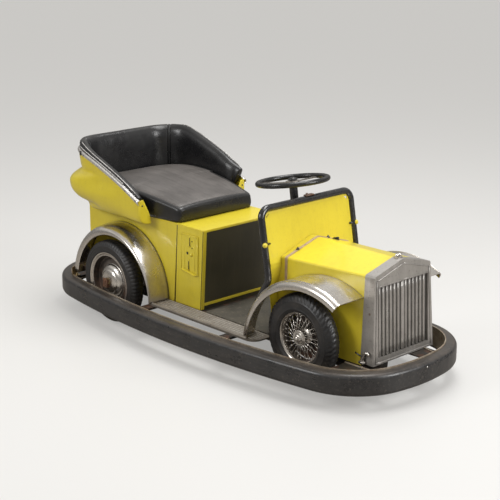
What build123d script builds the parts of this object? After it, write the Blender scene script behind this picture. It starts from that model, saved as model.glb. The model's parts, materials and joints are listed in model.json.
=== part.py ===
from build123d import *
import math
import os

# Child-size fairground bumper car with a vintage touring-car body.
# Millimetres. X forward, Y to the car's left, Z up. Origin on the floor at the middle of the bumper.

# Rubber bumper: a three-centre oval, wide sides, round corners, blunt ends
BUMPER_HALF_WIDTH = 368.0
BUMPER_SIDE_R = 4000.0
BUMPER_SIDE_ANGLE = 9.2
BUMPER_END_R = 650.0
BUMPER_END_ANGLE = 79.0
BUMPER_DEPTH = 36.0
BUMPER_LOW = 52.0
BUMPER_HIGH = 126.0
BUMPER_ROUND = 17.0
CHANNEL_WALL = 4.0
CHANNEL_LOW = 60.0
CHANNEL_HIGH = 130.0

# Frame
RAIL_IN = 108.0
RAIL_OUT = 138.0
RAIL_LOW = 80.0
RAIL_HIGH = 110.0
CROSS_HIGH = 118.0
CROSS_WIDTH = 40.0
CROSS_X = (-690.0, -200.0, 220.0)
FLOOR_T = 3.0
FLOOR_REAR = -330.0
MAT_T = 4.0
MAT_GAP = 6.0

# Seat box
BOX_HALF = 183.0
BOX_WALL = 4.0
BOX_FRONT = -8.0
BOX_REAR = -670.0
BOX_HIGH = 418.0
ARCH_X = -250.0
ARCH_Z = 205.0
FRONT_LEAN = 22.0

# Running boards
BOARD_OUT = 268.0
BOARD_REAR = -236.0
BOARD_FRONT = 335.0
BOARD_T = 5.0
BOARD_ROLL_R = 5.5
BOARD_CORNER = 38.0

# Tub around the seat, with folds that close up towards the front
TUB_HALF = 258.0
TUB_REAR = -706.0
TUB_FRONT = -268.0
TUB_CORNER = 95.0
TUB_TOP_CORNER = 130.0
TUB_WALL = 5.0
TUB_LEVELS = (
    # z at the rear, z at the front, stand-out, corner radius
    (400.0, 400.0, -22.0, TUB_CORNER),
    (411.0, 406.0, -3.0, TUB_CORNER),
    (424.0, 415.0, -11.0, TUB_CORNER),
    (448.0, 429.0, 13.0, TUB_CORNER),
    (500.0, 455.0, 19.0, TUB_CORNER),
    (532.0, 472.0, 4.0, (TUB_CORNER + TUB_TOP_CORNER) / 2),
    (548.0, 481.0, -4.0, TUB_TOP_CORNER),
    (640.0, 560.0, 3.0, TUB_TOP_CORNER),
)
TUB_EDGE = (
    # x, z of the tub's upper edge
    (-900.0, 629.0),
    (-622.0, 625.0),
    (-550.0, 606.0),
    (-430.0, 563.0),
    (-355.0, 532.0),
    (-298.0, 504.0),
    (-200.0, 455.0),
)
TRIM_HEIGHT = 17.0
FLAP = (
    # y, z of the closing plate at the tub's front end
    (-256.0, 400.0),
    (-204.0, 400.0),
    (-210.0, 434.0),
    (-238.0, 494.0),
    (-266.0, 494.0),
)
TRIM_T = 3.0

# Upholstery
PAD_T = 30.0
PAD_OVER = 31.0
PAD_LIP = 1.0
CUSHION_FRONT = -141.0
CUSHION_HALF_FRONT = 176.0
CUSHION_HALF_REAR = 220.0
CUSHION_WAIST_X = -400.0
CUSHION_SIDE_Z = 476.0
CUSHION_REAR_Z = 500.0
CUSHION_CROWN = 522.0
SEAT_GAP = 0.3

# Bonnet and grille
BONNET_REAR = 330.0
BONNET_FRONT = 698.0
BONNET_WALL = 3.0
BONNET_LOW = 112.0
BONNET_REAR_HALF = 150.0
BONNET_REAR_SHOULDER = 395.0
BONNET_REAR_RIDGE = 441.0
BONNET_FRONT_HALF_LOW = 144.0
BONNET_FRONT_HALF = 131.0
BONNET_FRONT_SHOULDER = 405.0
BONNET_FRONT_RIDGE = 440.0
BONNET_SHOULDER_R = 9.0
BONNET_RIDGE_R = 45.0
BONNET_TRIM_X = 361.0
BONNET_TRIM_W = 9.0
BONNET_TRIM_T = 2.5
AXLE_SLOT = 17.0
GRILLE_FRONT_HIGH = 738.0
GRILLE_FRONT_LOW = 752.0
GRILLE_LOW = 122.0
GRILLE_RIM = 13.0
GRILLE_SILL = 22.0
GRILLE_HEAD = 372.0
GRILLE_OUT = 4.0
BAR_COUNT = 6
BAR_T = 7.0
BAR_DEPTH = 15.0
CENTRE_BAR = 16.0
ORNAMENT_BACK = 24.0
ORNAMENT_HALF_L = 9.0
ORNAMENT_HALF_W = 12.0
ORNAMENT_HIGH = 3.0
ORNAMENT_BALL_R = 5.0
ORNAMENT_BALLS = (-8.0, 0.0, 8.0)
HOOK_BACK = 48.0
HOOK_LENGTH = 38.0
HOOK_STEM = 12.0
HOOK_OUT = 18.0
HOOK_LOW = 126.0
HOOK_BAR = 16.0
HOOK_HIGH = 170.0

# Windscreen
SCREEN_TUBE_R = 12.0
SCREEN_HALF = 214.0
SCREEN_TOP_X = 309.0
SCREEN_TOP_Z = 558.0
SCREEN_KNEE_X = 340.0
SCREEN_KNEE_Z = 382.0
SCREEN_CORNER = 34.0
SCREEN_HEEL_X = 296.0
SCREEN_HEEL_Z = 235.0
PANEL_T = 4.0
PANEL_HALF = 197.0
PANEL_CORNER = 30.0
PANEL_LINE = (
    # x of the front face, z, from the floor up
    (348.0, 121.0),
    (323.0, 290.0),
    (334.0, 325.0),
    (342.0, 362.0),
    (343.0, 378.0),
    (314.0, 542.0),
)

# Fenders: arc of the crest and arc of the outer lip
FENDER_WALL = 4.0
FENDER_ROUND = 22.0
REAR_FENDER_OUT = 276.0
REAR_CREST_X = -441.0
REAR_CREST_Z = 125.0
REAR_CREST_R = 242.0
REAR_LIP_X = -419.0
REAR_LIP_Z = 121.0
REAR_LIP_R = 214.0
REAR_TIP_Z = 162.0
FRONT_FENDER_OUT = 262.0
FRONT_FENDER_IN = 130.0
FRONT_CREST_X = 549.0
FRONT_CREST_Z = 85.0
FRONT_CREST_R = 288.0
FRONT_LIP_R = 261.0
FRONT_TIP_ANGLE = 60.0

# Wheels
AXLE_R = 8.0
RUN_GAP = 0.05
REAR_AXLE_X = -436.0
REAR_TYRE_R = 155.0
REAR_TYRE_WIDTH = 58.0
REAR_TYRE_CLEAR = 22.0
REAR_RIM_R = 114.0
REAR_HUB_BACK = (
    # radius, distance out from the rim's inner edge
    (28.0, 2.0),
    (30.0, 22.0),
)
REAR_RIM_SECTION = (
    # distance inside the rim's radius, distance out from its inner edge
    (31.0, 16.0),
    (17.0, 4.0),
    (12.0, 0.0),
    (0.0, 0.0),
    (0.0, 3.0),
    (8.0, 6.0),
    (8.0, 43.0),
    (0.0, 46.0),
    (0.0, 49.0),
    (5.0, 51.0),
    (12.0, 46.0),
    (17.0, 20.0),
    (30.0, 26.0),
)
REAR_HUB_FRONT = (
    # radius, distance out from the rim's inner edge
    (64.0, 28.0),
    (60.0, 38.0),
    (46.0, 46.0),
    (26.0, 51.0),
    (14.0, 53.0),
)
REAR_RIM_BACK = 24.0
FRONT_AXLE_X = 505.0
FRONT_AXLE_Z = 172.0
FRONT_TYRE_R = 147.0
FRONT_TYRE_IN = 180.0
FRONT_TYRE_OUT = 236.0
FRONT_RIM_R = 93.0
FRONT_RIM_SECTION = (
    # distance inside the rim's radius, distance out from the middle
    (14.0, -17.0),
    (3.0, -22.0),
    (0.0, -22.0),
    (0.0, -19.0),
    (8.0, -13.0),
    (8.0, 13.0),
    (0.0, 19.0),
    (0.0, 22.0),
    (3.0, 22.0),
    (14.0, 17.0),
)
FRONT_HUB_SECTION = (
    # radius, distance out from the middle
    (22.0, -22.0),
    (22.0, -12.0),
    (14.0, -8.0),
    (14.0, 12.0),
    (20.0, 16.0),
    (20.0, 24.0),
    (13.0, 30.0),
)
SPOKE_FOOT_R = 17.0
SPOKE_FOOT_OUT = 19.0
SPOKE_FOOT_IN = 15.0
TYRE_BEAD = 8.0
TYRE_SHOULDER = 9.0
SPOKES = 14
SPOKE_R = 1.8

# Steered drive unit under the bonnet
DRIVE_X = 600.0
DRIVE_R = 75.0
DRIVE_HALF = 22.0
DRIVE_RIM_R = 48.0
FORK_IN = 30.0
FORK_OUT = 36.0
CROWN_LOW = 160.0
CROWN_HIGH = 170.0
KINGPIN_R = 12.0
BRIDGE_LOW = 205.0
BRIDGE_HIGH = 215.0
BEARING_HIGH = 245.0
BEARING_R = 22.0
MOTOR_R = 42.0
MOTOR_LOW = 262.0
MOTOR_HIGH = 350.0

# Steering column
WHEEL_X = 244.0
WHEEL_Z = 611.0
COLUMN_TILT = 8.5
STEER_R = 119.0
STEER_TUBE_R = 9.0
COLUMN_R = 14.0
COLUMN_TOP = 21.0
COLUMN_END = 300.0
SHAFT_END = 330.0
BRACKET_Z = 345.0
BRACKET_HALF = 18.0
BRACKET_HIGH = 28.0
STEER_HUB_R = 24.0
STEER_HUB_T = 14.0
STEER_ARM_W = 14.0
STEER_ARM_T = 3.5


def block(x0, x1, y0, y1, z0, z1):
    middle = Pos((x0 + x1) / 2, (y0 + y1) / 2, (z0 + z1) / 2)
    return middle * Box(x1 - x0, y1 - y0, z1 - z0)


def both(shape):
    return [shape, mirror(shape, about=Plane.XZ)]


def pair(shape):
    return Compound(children=both(shape))


def rod(start, end, radius):
    way = Vector(*end) - Vector(*start)
    return extrude(Plane(origin=start, z_dir=way) * Circle(radius), amount=way.length)


def side_profile(points, y0, y1):
    # closed outline in X and Z, spread from y0 to y1
    wire = Polyline(*[(x, y0, z) for x, z in points], close=True)
    return extrude(make_face(wire), amount=y1 - y0, dir=(0, 1, 0))


def disc(x, z, radius, y0, y1):
    plane = Plane(origin=(x, y0, z), x_dir=(1, 0, 0), z_dir=(0, 1, 0))
    return extrude(plane * Circle(radius), amount=y1 - y0)


def spun(points, x, z):
    # outline of (radius, y) pairs turned about an axle along Y
    axis = Axis((x, 0, z), (0, 1, 0))
    wire = Polyline(*[(x, y, z + r) for r, y in points], close=True)
    return revolve(make_face(wire), axis=axis, revolution_arc=360)


# Bumper oval
side_a = math.radians(BUMPER_SIDE_ANGLE)
end_a = math.radians(BUMPER_END_ANGLE)
side_centre = BUMPER_HALF_WIDTH - BUMPER_SIDE_R
corner_top = (BUMPER_SIDE_R * math.sin(side_a), side_centre + BUMPER_SIDE_R * math.cos(side_a))
end_y = BUMPER_END_R * math.cos(end_a)
corner_r = (corner_top[1] - end_y) / (math.cos(side_a) - math.cos(end_a))
corner_x = corner_top[0] - corner_r * math.sin(side_a)
corner_y = corner_top[1] - corner_r * math.cos(side_a)
end_centre = corner_x + corner_r * math.sin(end_a) - BUMPER_END_R * math.sin(end_a)


def on_arc(centre_x, centre_y, radius, angle):
    return (centre_x + radius * math.sin(angle), centre_y + radius * math.cos(angle))


def oval(inset, low, high):
    mid_a = (side_a + end_a) / 2
    late_a = (end_a + math.pi / 2) / 2
    right = [
        on_arc(0, side_centre, BUMPER_SIDE_R - inset, 0),
        on_arc(0, side_centre, BUMPER_SIDE_R - inset, side_a / 2),
        on_arc(0, side_centre, BUMPER_SIDE_R - inset, side_a),
        on_arc(corner_x, corner_y, corner_r - inset, mid_a),
        on_arc(corner_x, corner_y, corner_r - inset, end_a),
        on_arc(end_centre, 0, BUMPER_END_R - inset, late_a),
        on_arc(end_centre, 0, BUMPER_END_R - inset, math.pi / 2),
    ]
    edges = []
    for flip_x, flip_y in ((1, 1), (1, -1), (-1, -1), (-1, 1)):
        spots = [(x * flip_x, y * flip_y, low) for x, y in right]
        for first in (0, 2, 4):
            edges.append(ThreePointArc(*spots[first : first + 3]))
    return extrude(make_face(Wire(edges)), amount=high - low, dir=(0, 0, 1))


CHANNEL_IN = BUMPER_DEPTH + CHANNEL_WALL
rubber = oval(0, BUMPER_LOW, BUMPER_HIGH) - oval(BUMPER_DEPTH, BUMPER_LOW - 1, BUMPER_HIGH + 1)
outer_edges = [
    edge
    for edge in rubber.edges()
    if abs(edge.center().Z - BUMPER_LOW) < 0.1 or abs(edge.center().Z - BUMPER_HIGH) < 0.1
]
inner_solid = oval(BUMPER_DEPTH - 1, BUMPER_LOW - 2, BUMPER_HIGH + 2)
outer_edges = [edge for edge in outer_edges if not inner_solid.is_inside(edge @ 0.5)]
bumper_ring = fillet(outer_edges, BUMPER_ROUND)
bumper_channel = oval(BUMPER_DEPTH, CHANNEL_LOW, CHANNEL_HIGH)
bumper_channel -= oval(CHANNEL_IN, CHANNEL_LOW - 1, CHANNEL_HIGH + 1)
inside = oval(CHANNEL_IN, 0, 200)


def ring_half(x):
    # half the clear width inside the ring, along its long sides
    return side_centre + math.sqrt((BUMPER_SIDE_R - CHANNEL_IN) ** 2 - x**2)


REAR_TYRE_OUT = ring_half(REAR_AXLE_X) - REAR_TYRE_CLEAR
REAR_TYRE_IN = REAR_TYRE_OUT - REAR_TYRE_WIDTH

# Frame
rail = block(-900, 900, RAIL_IN, RAIL_OUT, RAIL_LOW, RAIL_HIGH) & inside
chassis_rails = pair(rail)
crosses = []
for x in CROSS_X:
    bar = block(x - CROSS_WIDTH / 2, x + CROSS_WIDTH / 2, -400, 400, RAIL_HIGH, CROSS_HIGH)
    crosses.append(bar & inside)
cross_members = Compound(children=crosses)
FLOOR_TOP = CROSS_HIGH + FLOOR_T
FLOOR_FRONT = PANEL_LINE[0][0]
floor_pan = block(FLOOR_REAR, FLOOR_FRONT, -BOX_HALF, BOX_HALF, CROSS_HIGH, FLOOR_TOP)

# Windscreen panel: leaning upper sheet, knee, lower sheet down to the floor
panel_front = list(PANEL_LINE)
panel_back = [(x - PANEL_T, z) for x, z in PANEL_LINE]
windscreen_panel = side_profile(panel_front + panel_back[::-1], -PANEL_HALF, PANEL_HALF)
panel_top = PANEL_LINE[-1][1]
mask = Plane.YZ * Pos(0, panel_top / 2 - 50) * RectangleRounded(2 * PANEL_HALF, panel_top + 100, PANEL_CORNER)
windscreen_panel &= extrude(mask, amount=500)
low_side = block(0, 500, BOX_HALF, 400, 0, PANEL_LINE[1][1] - 20)
windscreen_panel -= low_side
windscreen_panel -= mirror(low_side, about=Plane.XZ)


def ahead_of(offset):
    # everything ahead of the panel's front face, moved forward by offset
    line = [(x + offset, z) for x, z in PANEL_LINE]
    return side_profile([(line[0][0], 0)] + line + [(900, panel_top), (900, 0)], -400, 400)


ahead_of_panel = ahead_of(SEAT_GAP)

MAT_REAR = BOX_FRONT + MAT_GAP
MAT_FRONT = PANEL_LINE[1][0] - PANEL_T - MAT_GAP
floor_mat = block(MAT_REAR, MAT_FRONT, -BOX_HALF + 2, BOX_HALF - 2, FLOOR_TOP, FLOOR_TOP + MAT_T)

# Seat box
side_outline = [
    (BOX_REAR, ARCH_Z),
    (ARCH_X, ARCH_Z),
    (ARCH_X, FLOOR_TOP),
    (BOX_FRONT - FRONT_LEAN, FLOOR_TOP),
    (BOX_FRONT - BOX_WALL, BOX_HIGH - BOX_WALL),
    (BOX_REAR, BOX_HIGH - BOX_WALL),
]
seat_box_sides = pair(side_profile(side_outline, -BOX_HALF, -BOX_HALF + BOX_WALL))
front_outline = [
    (BOX_FRONT - FRONT_LEAN, FLOOR_TOP),
    (BOX_FRONT - FRONT_LEAN + BOX_WALL, FLOOR_TOP),
    (BOX_FRONT, BOX_HIGH - BOX_WALL),
    (BOX_FRONT - BOX_WALL, BOX_HIGH - BOX_WALL),
]
seat_box_front = side_profile(front_outline, -BOX_HALF, BOX_HALF)
seat_deck = block(BOX_REAR, BOX_FRONT, -BOX_HALF, BOX_HALF, BOX_HIGH - BOX_WALL, BOX_HIGH)
tail_high = BOX_HIGH - BOX_WALL
tail_panel = block(BOX_REAR, BOX_REAR + BOX_WALL, -BOX_HALF + BOX_WALL, BOX_HALF - BOX_WALL, CROSS_HIGH, tail_high)
BATTERY = (-300.0, -70.0, 130.0, 300.0)
battery_box = block(BATTERY[0], BATTERY[1], -BATTERY[2], BATTERY[2], FLOOR_TOP, BATTERY[3])
PLATE = (-128.0, -32.0, 248.0, 392.0, 4.0)
coin_plate = block(PLATE[0], PLATE[1], -BOX_HALF - PLATE[4], -BOX_HALF, PLATE[2], PLATE[3])
coin_plate = fillet(coin_plate.edges().filter_by(Axis.Y), 5)

# Running boards
board = block(BOARD_REAR, BOARD_FRONT, -BOARD_OUT, -BOX_HALF, CROSS_HIGH, CROSS_HIGH + BOARD_T)
outer_corners = [edge for edge in board.edges().filter_by(Axis.Z) if edge.center().Y < -BOX_HALF - 20]
board = fillet(outer_corners, BOARD_CORNER)
roll_z = CROSS_HIGH + BOARD_ROLL_R
roll_y = -BOARD_OUT + BOARD_ROLL_R
roll = rod(
    (BOARD_REAR + BOARD_CORNER, roll_y, roll_z),
    (BOARD_FRONT - BOARD_CORNER, roll_y, roll_z),
    BOARD_ROLL_R,
)
running_boards = pair(board + roll)


# Tub
def seat_plan(out, rear_z, front_z, corner):
    # plan of the seat body on a plane that runs from rear_z to front_z
    run = TUB_FRONT - TUB_REAR
    fall = math.atan2(front_z - rear_z, run)
    plane = Plane(
        origin=(TUB_REAR, 0, rear_z),
        x_dir=(math.cos(fall), 0, math.sin(fall)),
        z_dir=(-math.sin(fall), 0, math.cos(fall)),
    )
    half = TUB_HALF + out
    front = (run + 60) / math.cos(fall)
    plan = Polyline((front, -half), (-out, -half), (-out, half), (front, half), close=True)
    face = make_face(plan)
    rear_spots = [spot for spot in face.vertices() if spot.X < front - 10]
    return plane * fillet(rear_spots, corner + out)


def stack(out):
    solids = []
    for low, high in zip(TUB_LEVELS, TUB_LEVELS[1:]):
        faces = [seat_plan(row[2] + out, row[0], row[1], row[3]) for row in (low, high)]
        solids.append(loft(faces, ruled=True))
    return Solid() + solids


def under_edge(lift):
    # everything below the tub's upper edge, raised by lift
    line = [(x, z + lift) for x, z in TUB_EDGE]
    return side_profile(line + [(TUB_EDGE[-1][0], 0), (TUB_EDGE[0][0], 0)], -500, 500)


tub_low = TUB_LEVELS[0][0]
outer_skin = stack(0)
tub_shell = outer_skin - stack(-TUB_WALL)
shelf_plan = seat_plan(TUB_LEVELS[0][2], tub_low, tub_low, TUB_CORNER)
shelf = extrude(shelf_plan, amount=TUB_WALL, dir=(0, 0, 1))
body_space = block(BOX_REAR, 900, -BOX_HALF, BOX_HALF, 0, 600)
tub_shell = (tub_shell + shelf) - body_space
tub_limit = under_edge(0) & block(-900, TUB_FRONT, -400, 400, 0, 900)
tub_shell &= tub_limit
flap_face = make_face(Polyline(*[(TUB_FRONT, y, z) for y, z in FLAP], close=True))
flap = extrude(flap_face, amount=-TUB_WALL, dir=(1, 0, 0)) & outer_skin
for one in both(flap):
    tub_shell += one
tub_trim = (stack(TRIM_T + SEAT_GAP) - stack(SEAT_GAP)) & tub_limit
tub_trim -= under_edge(-TRIM_HEIGHT)

# Upholstery
def prism(out, low, high):
    return extrude(seat_plan(out, low, low, TUB_TOP_CORNER), amount=high - low, dir=(0, 0, 1))


pad_low = BOX_HIGH + SEAT_GAP
lowest_wall = min(row[2] for row in TUB_LEVELS[1:]) - TUB_WALL - SEAT_GAP
pad_space = prism(-TUB_WALL - PAD_T, 0, 900)
pad_limit = under_edge(PAD_OVER) & block(-900, TUB_FRONT - TUB_WALL - SEAT_GAP, -400, 400, 0, 900)
seat_back = prism(lowest_wall, pad_low, 900) - pad_space
seat_back += (prism(PAD_LIP, pad_low, 900) - pad_space) - under_edge(SEAT_GAP)
seat_back &= pad_limit

CUSHION_REAR = TUB_REAR + TUB_WALL + PAD_T + 3.0
cushion_points = [
    (CUSHION_FRONT, -CUSHION_HALF_FRONT),
    (CUSHION_WAIST_X, -CUSHION_HALF_REAR),
    (CUSHION_REAR, -CUSHION_HALF_REAR),
    (CUSHION_REAR, CUSHION_HALF_REAR),
    (CUSHION_WAIST_X, CUSHION_HALF_REAR),
    (CUSHION_FRONT, CUSHION_HALF_FRONT),
]
cushion_face = make_face(Polyline(*[(x, y, pad_low) for x, y in cushion_points], close=True))
rear_corners = [spot for spot in cushion_face.vertices() if spot.X < CUSHION_REAR + 1]
cushion_face = fillet(rear_corners, TUB_TOP_CORNER - PAD_T)
front_corners = [spot for spot in cushion_face.vertices() if spot.X > CUSHION_FRONT - 1]
cushion_face = fillet(front_corners, 20)
cushion_block = extrude(cushion_face, amount=200, dir=(0, 0, 1))
cushion_middle = (CUSHION_FRONT + 2 * CUSHION_REAR) / 3
crown_arc = ThreePointArc(
    (CUSHION_REAR - 5, -400, CUSHION_REAR_Z),
    (cushion_middle, -400, CUSHION_CROWN),
    (CUSHION_FRONT + 5, -400, CUSHION_SIDE_Z),
)
crown_base = Polyline(crown_arc @ 1, (CUSHION_FRONT + 5, -400, 0), (CUSHION_REAR - 5, -400, 0), crown_arc @ 0)
crown_space = extrude(make_face(Wire([crown_arc] + crown_base.edges())), amount=800, dir=(0, 1, 0))
seat_cushion = cushion_block & crown_space


# Bonnet
def section(x, half_low, half, shoulder, ridge, out):
    points = [
        (x, -half_low - out, BONNET_LOW),
        (x, -half - out, shoulder + out),
        (x, 0, ridge + out),
        (x, half + out, shoulder + out),
        (x, half_low + out, BONNET_LOW),
    ]
    face = make_face(Polyline(*points, close=True))
    shoulders = [spot for spot in face.vertices() if abs(spot.Y) > 50 and spot.Z > BONNET_LOW + 50]
    face = fillet(shoulders, BONNET_SHOULDER_R)
    ridges = [spot for spot in face.vertices() if abs(spot.Y) < 1]
    return fillet(ridges, BONNET_RIDGE_R)


def rear_section(x, out):
    return section(
        x, BONNET_REAR_HALF, BONNET_REAR_HALF, BONNET_REAR_SHOULDER, BONNET_REAR_RIDGE, out
    )


def front_section(x, out):
    return section(
        x, BONNET_FRONT_HALF_LOW, BONNET_FRONT_HALF, BONNET_FRONT_SHOULDER, BONNET_FRONT_RIDGE, out
    )


def bonnet_solid(out):
    return loft([rear_section(BONNET_REAR, out), front_section(BONNET_FRONT, out)], ruled=True)


bonnet_outer = bonnet_solid(0)
bonnet_void = bonnet_solid(-BONNET_WALL)
bonnet = bonnet_outer - bonnet_void
bonnet -= block(BONNET_REAR, BONNET_FRONT, -120, 120, 0, BONNET_LOW + 60)
bonnet &= ahead_of_panel
axle_slot = block(FRONT_AXLE_X - AXLE_SLOT, FRONT_AXLE_X + AXLE_SLOT, -200, 200, 0, FRONT_AXLE_Z)
axle_slot += disc(FRONT_AXLE_X, FRONT_AXLE_Z, AXLE_SLOT, -200, 200)
bonnet -= axle_slot
bonnet_trim = bonnet_solid(BONNET_TRIM_T) - bonnet_outer
trim_front = BONNET_TRIM_X + BONNET_TRIM_W
trim_low = FRONT_CREST_Z + math.sqrt(FRONT_CREST_R**2 - (FRONT_CREST_X - trim_front) ** 2) + SEAT_GAP
bonnet_trim &= block(BONNET_TRIM_X, trim_front, -300, 300, trim_low, 600)

# Grille
grille_block = extrude(front_section(BONNET_FRONT, GRILLE_OUT), amount=100, dir=(1, 0, 0))
lean_x = (GRILLE_FRONT_LOW - GRILLE_FRONT_HIGH) / (BONNET_FRONT_SHOULDER - GRILLE_LOW)


def grille_front(z, back=0.0):
    return GRILLE_FRONT_LOW - lean_x * (z - GRILLE_LOW) - back


face_limit = [
    (0, GRILLE_LOW),
    (grille_front(GRILLE_LOW), GRILLE_LOW),
    (grille_front(600), 600),
    (0, 600),
]
grille_outer = grille_block & side_profile(face_limit, -400, 400)
grille_sill = GRILLE_LOW + GRILLE_SILL
opening_half = BONNET_FRONT_HALF + GRILLE_OUT - GRILLE_RIM
grille_hole = block(0, 900, -opening_half, opening_half, grille_sill, GRILLE_HEAD)
grille_back = extrude(front_section(0, GRILLE_OUT - 4), amount=BONNET_FRONT + 24, dir=(1, 0, 0))
grille_back &= block(0, 900, -400, 400, GRILLE_LOW + 4, 900)
grille_shell = grille_outer - grille_hole - grille_back
bars = []
bar_step = (opening_half - CENTRE_BAR / 2) / (BAR_COUNT + 1)
bar_rows = [(0.0, CENTRE_BAR, 0.5)]
for number in range(1, BAR_COUNT + 1):
    bar_rows.append((CENTRE_BAR / 2 + number * bar_step, BAR_T, 3.0))
for y, width, back in bar_rows:
    outline = [
        (grille_front(grille_sill, back + BAR_DEPTH), grille_sill),
        (grille_front(grille_sill, back), grille_sill),
        (grille_front(GRILLE_HEAD, back), GRILLE_HEAD),
        (grille_front(GRILLE_HEAD, back + BAR_DEPTH), GRILLE_HEAD),
    ]
    bar = side_profile(outline, -y - width / 2, -y + width / 2)
    bars.append(bar)
    if y > 0:
        bars.append(mirror(bar, about=Plane.XZ))
grille_bars = Compound(children=bars)
cap_x = GRILLE_FRONT_HIGH - ORNAMENT_BACK
cap_z = BONNET_FRONT_RIDGE + GRILLE_OUT
ornament = Pos(cap_x, 0, cap_z - 6) * Box(2 * ORNAMENT_HALF_L, 2 * ORNAMENT_HALF_W, 2 * ORNAMENT_HIGH + 12)
for y in ORNAMENT_BALLS:
    ornament += Pos(cap_x, y, cap_z + ORNAMENT_HIGH + 3) * Sphere(ORNAMENT_BALL_R)
grille_ornament = ornament - grille_outer
hook_x = GRILLE_FRONT_LOW - HOOK_BACK
hook_out = BONNET_FRONT_HALF_LOW + HOOK_OUT
hook_bar_top = HOOK_LOW + HOOK_BAR
hook = block(hook_x, hook_x + HOOK_LENGTH, -hook_out, -BONNET_FRONT_HALF, HOOK_LOW, hook_bar_top)
hook += block(hook_x, hook_x + HOOK_STEM, -hook_out, -BONNET_FRONT_HALF, hook_bar_top, HOOK_HIGH)
hook -= grille_block
front_hooks = pair(hook)


# Fenders
def fender(crest, lip, y_out, y_in):
    x, z, radius = crest
    skin = disc(x, z, radius, -y_out, -y_in)
    rim = [edge for edge in skin.edges() if edge.length > radius and abs(edge.center().Y + y_out) < 1]
    skin = fillet(rim, FENDER_ROUND)
    hollow = disc(x, z, radius - FENDER_WALL, -y_out + FENDER_WALL, 0)
    rim = [
        edge
        for edge in hollow.edges()
        if edge.length > radius and abs(edge.center().Y + y_out - FENDER_WALL) < 1
    ]
    hollow = fillet(rim, FENDER_ROUND - FENDER_WALL)
    return skin, skin - hollow - disc(lip[0], lip[1], lip[2], -y_out - 1, 0)


board_top = CROSS_HIGH + BOARD_T
rear_skin, rear_fender = fender(
    (REAR_CREST_X, REAR_CREST_Z, REAR_CREST_R),
    (REAR_LIP_X, REAR_LIP_Z, REAR_LIP_R),
    REAR_FENDER_OUT,
    BOX_HALF,
)
rear_fender -= block(-900, 0, -400, 0, -400, board_top)
rear_fender -= block(-900, REAR_CREST_X, -400, 0, -400, REAR_TIP_Z)
front_skin, front_fender = fender(
    (FRONT_CREST_X, FRONT_CREST_Z, FRONT_CREST_R),
    (FRONT_CREST_X, FRONT_CREST_Z, FRONT_LIP_R),
    FRONT_FENDER_OUT,
    FRONT_FENDER_IN,
)
front_fender -= block(-100, 900, -400, 0, -400, board_top)
tip = math.radians(FRONT_TIP_ANGLE)
tip_cut = [
    (FRONT_CREST_X, FRONT_CREST_Z),
    (FRONT_CREST_X + 500 * math.cos(tip), FRONT_CREST_Z + 500 * math.sin(tip)),
    (FRONT_CREST_X + 600, FRONT_CREST_Z),
]
front_fender -= side_profile(tip_cut, -400, 0)
front_fender -= bonnet_outer
front_fender &= ahead_of_panel + block(-100, 900, -400, -PANEL_HALF - 1, 0, 600)
floor_side = block(0, FLOOR_FRONT + 1, -BOX_HALF - 1, 0, 0, PANEL_LINE[1][1])
front_fender = front_fender - floor_side - board - roll

# Windscreen frame
lean_slope = (SCREEN_KNEE_X - SCREEN_TOP_X) / (SCREEN_TOP_Z - SCREEN_KNEE_Z)
hoop = FilletPolyline(
    (SCREEN_KNEE_X, -SCREEN_HALF, SCREEN_KNEE_Z),
    (SCREEN_TOP_X, -SCREEN_HALF, SCREEN_TOP_Z),
    (SCREEN_TOP_X, SCREEN_HALF, SCREEN_TOP_Z),
    (SCREEN_KNEE_X, SCREEN_HALF, SCREEN_KNEE_Z),
    radius=SCREEN_CORNER,
)
tube = sweep(Plane(origin=hoop @ 0, z_dir=hoop % 0) * Circle(SCREEN_TUBE_R), path=hoop)
bend_z = SCREEN_KNEE_Z - 52
bend_x = SCREEN_KNEE_X + lean_slope * 52
leg_line = FilletPolyline(
    (SCREEN_KNEE_X, -SCREEN_HALF, SCREEN_KNEE_Z),
    (bend_x, -SCREEN_HALF, bend_z),
    (SCREEN_HEEL_X, -SCREEN_HALF, SCREEN_HEEL_Z),
    radius=48,
)
leg = sweep(Plane(origin=leg_line @ 0, z_dir=leg_line % 0) * Circle(SCREEN_TUBE_R), path=leg_line)
windscreen_frame = tube
for one in both(leg):
    windscreen_frame += one
for one in both(front_skin):
    windscreen_frame -= one

# Axles
axle_post = block(REAR_AXLE_X - 20, REAR_AXLE_X + 20, -RAIL_OUT, -RAIL_IN, RAIL_HIGH, REAR_TYRE_R + 18)
rear_axle = disc(REAR_AXLE_X, REAR_TYRE_R, AXLE_R, -REAR_TYRE_OUT - 4, REAR_TYRE_OUT + 4)
for one in both(axle_post):
    rear_axle += one
front_post = block(FRONT_AXLE_X - 12, FRONT_AXLE_X + 9, -RAIL_OUT, -RAIL_IN, RAIL_HIGH, FRONT_AXLE_Z + 14)
front_axle = disc(FRONT_AXLE_X, FRONT_AXLE_Z, AXLE_R, -FRONT_TYRE_OUT - 6, FRONT_TYRE_OUT + 6)
for one in both(front_post):
    front_axle += one


# Wheels
def tyre(x, z, radius, rim, y_in, y_out):
    middle = (y_in + y_out) / 2
    half = (y_out - y_in) / 2
    rows = (
        # radius, share of the half width
        (rim, 0.62),
        (rim + (radius - rim) * 0.12, 0.78),
        (rim + (radius - rim) * 0.45, 1.0),
        (radius - TYRE_SHOULDER, 0.90),
        (radius - TYRE_SHOULDER * 0.22, 0.62),
        (radius, 0.36),
    )
    outline = [(r, -middle - half * share) for r, share in rows]
    outline += [(r, -middle + half * share) for r, share in rows[::-1]]
    return spun(outline, x, z)


def bored(x, z):
    return disc(x, z, AXLE_R + RUN_GAP, -400, 400)


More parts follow.
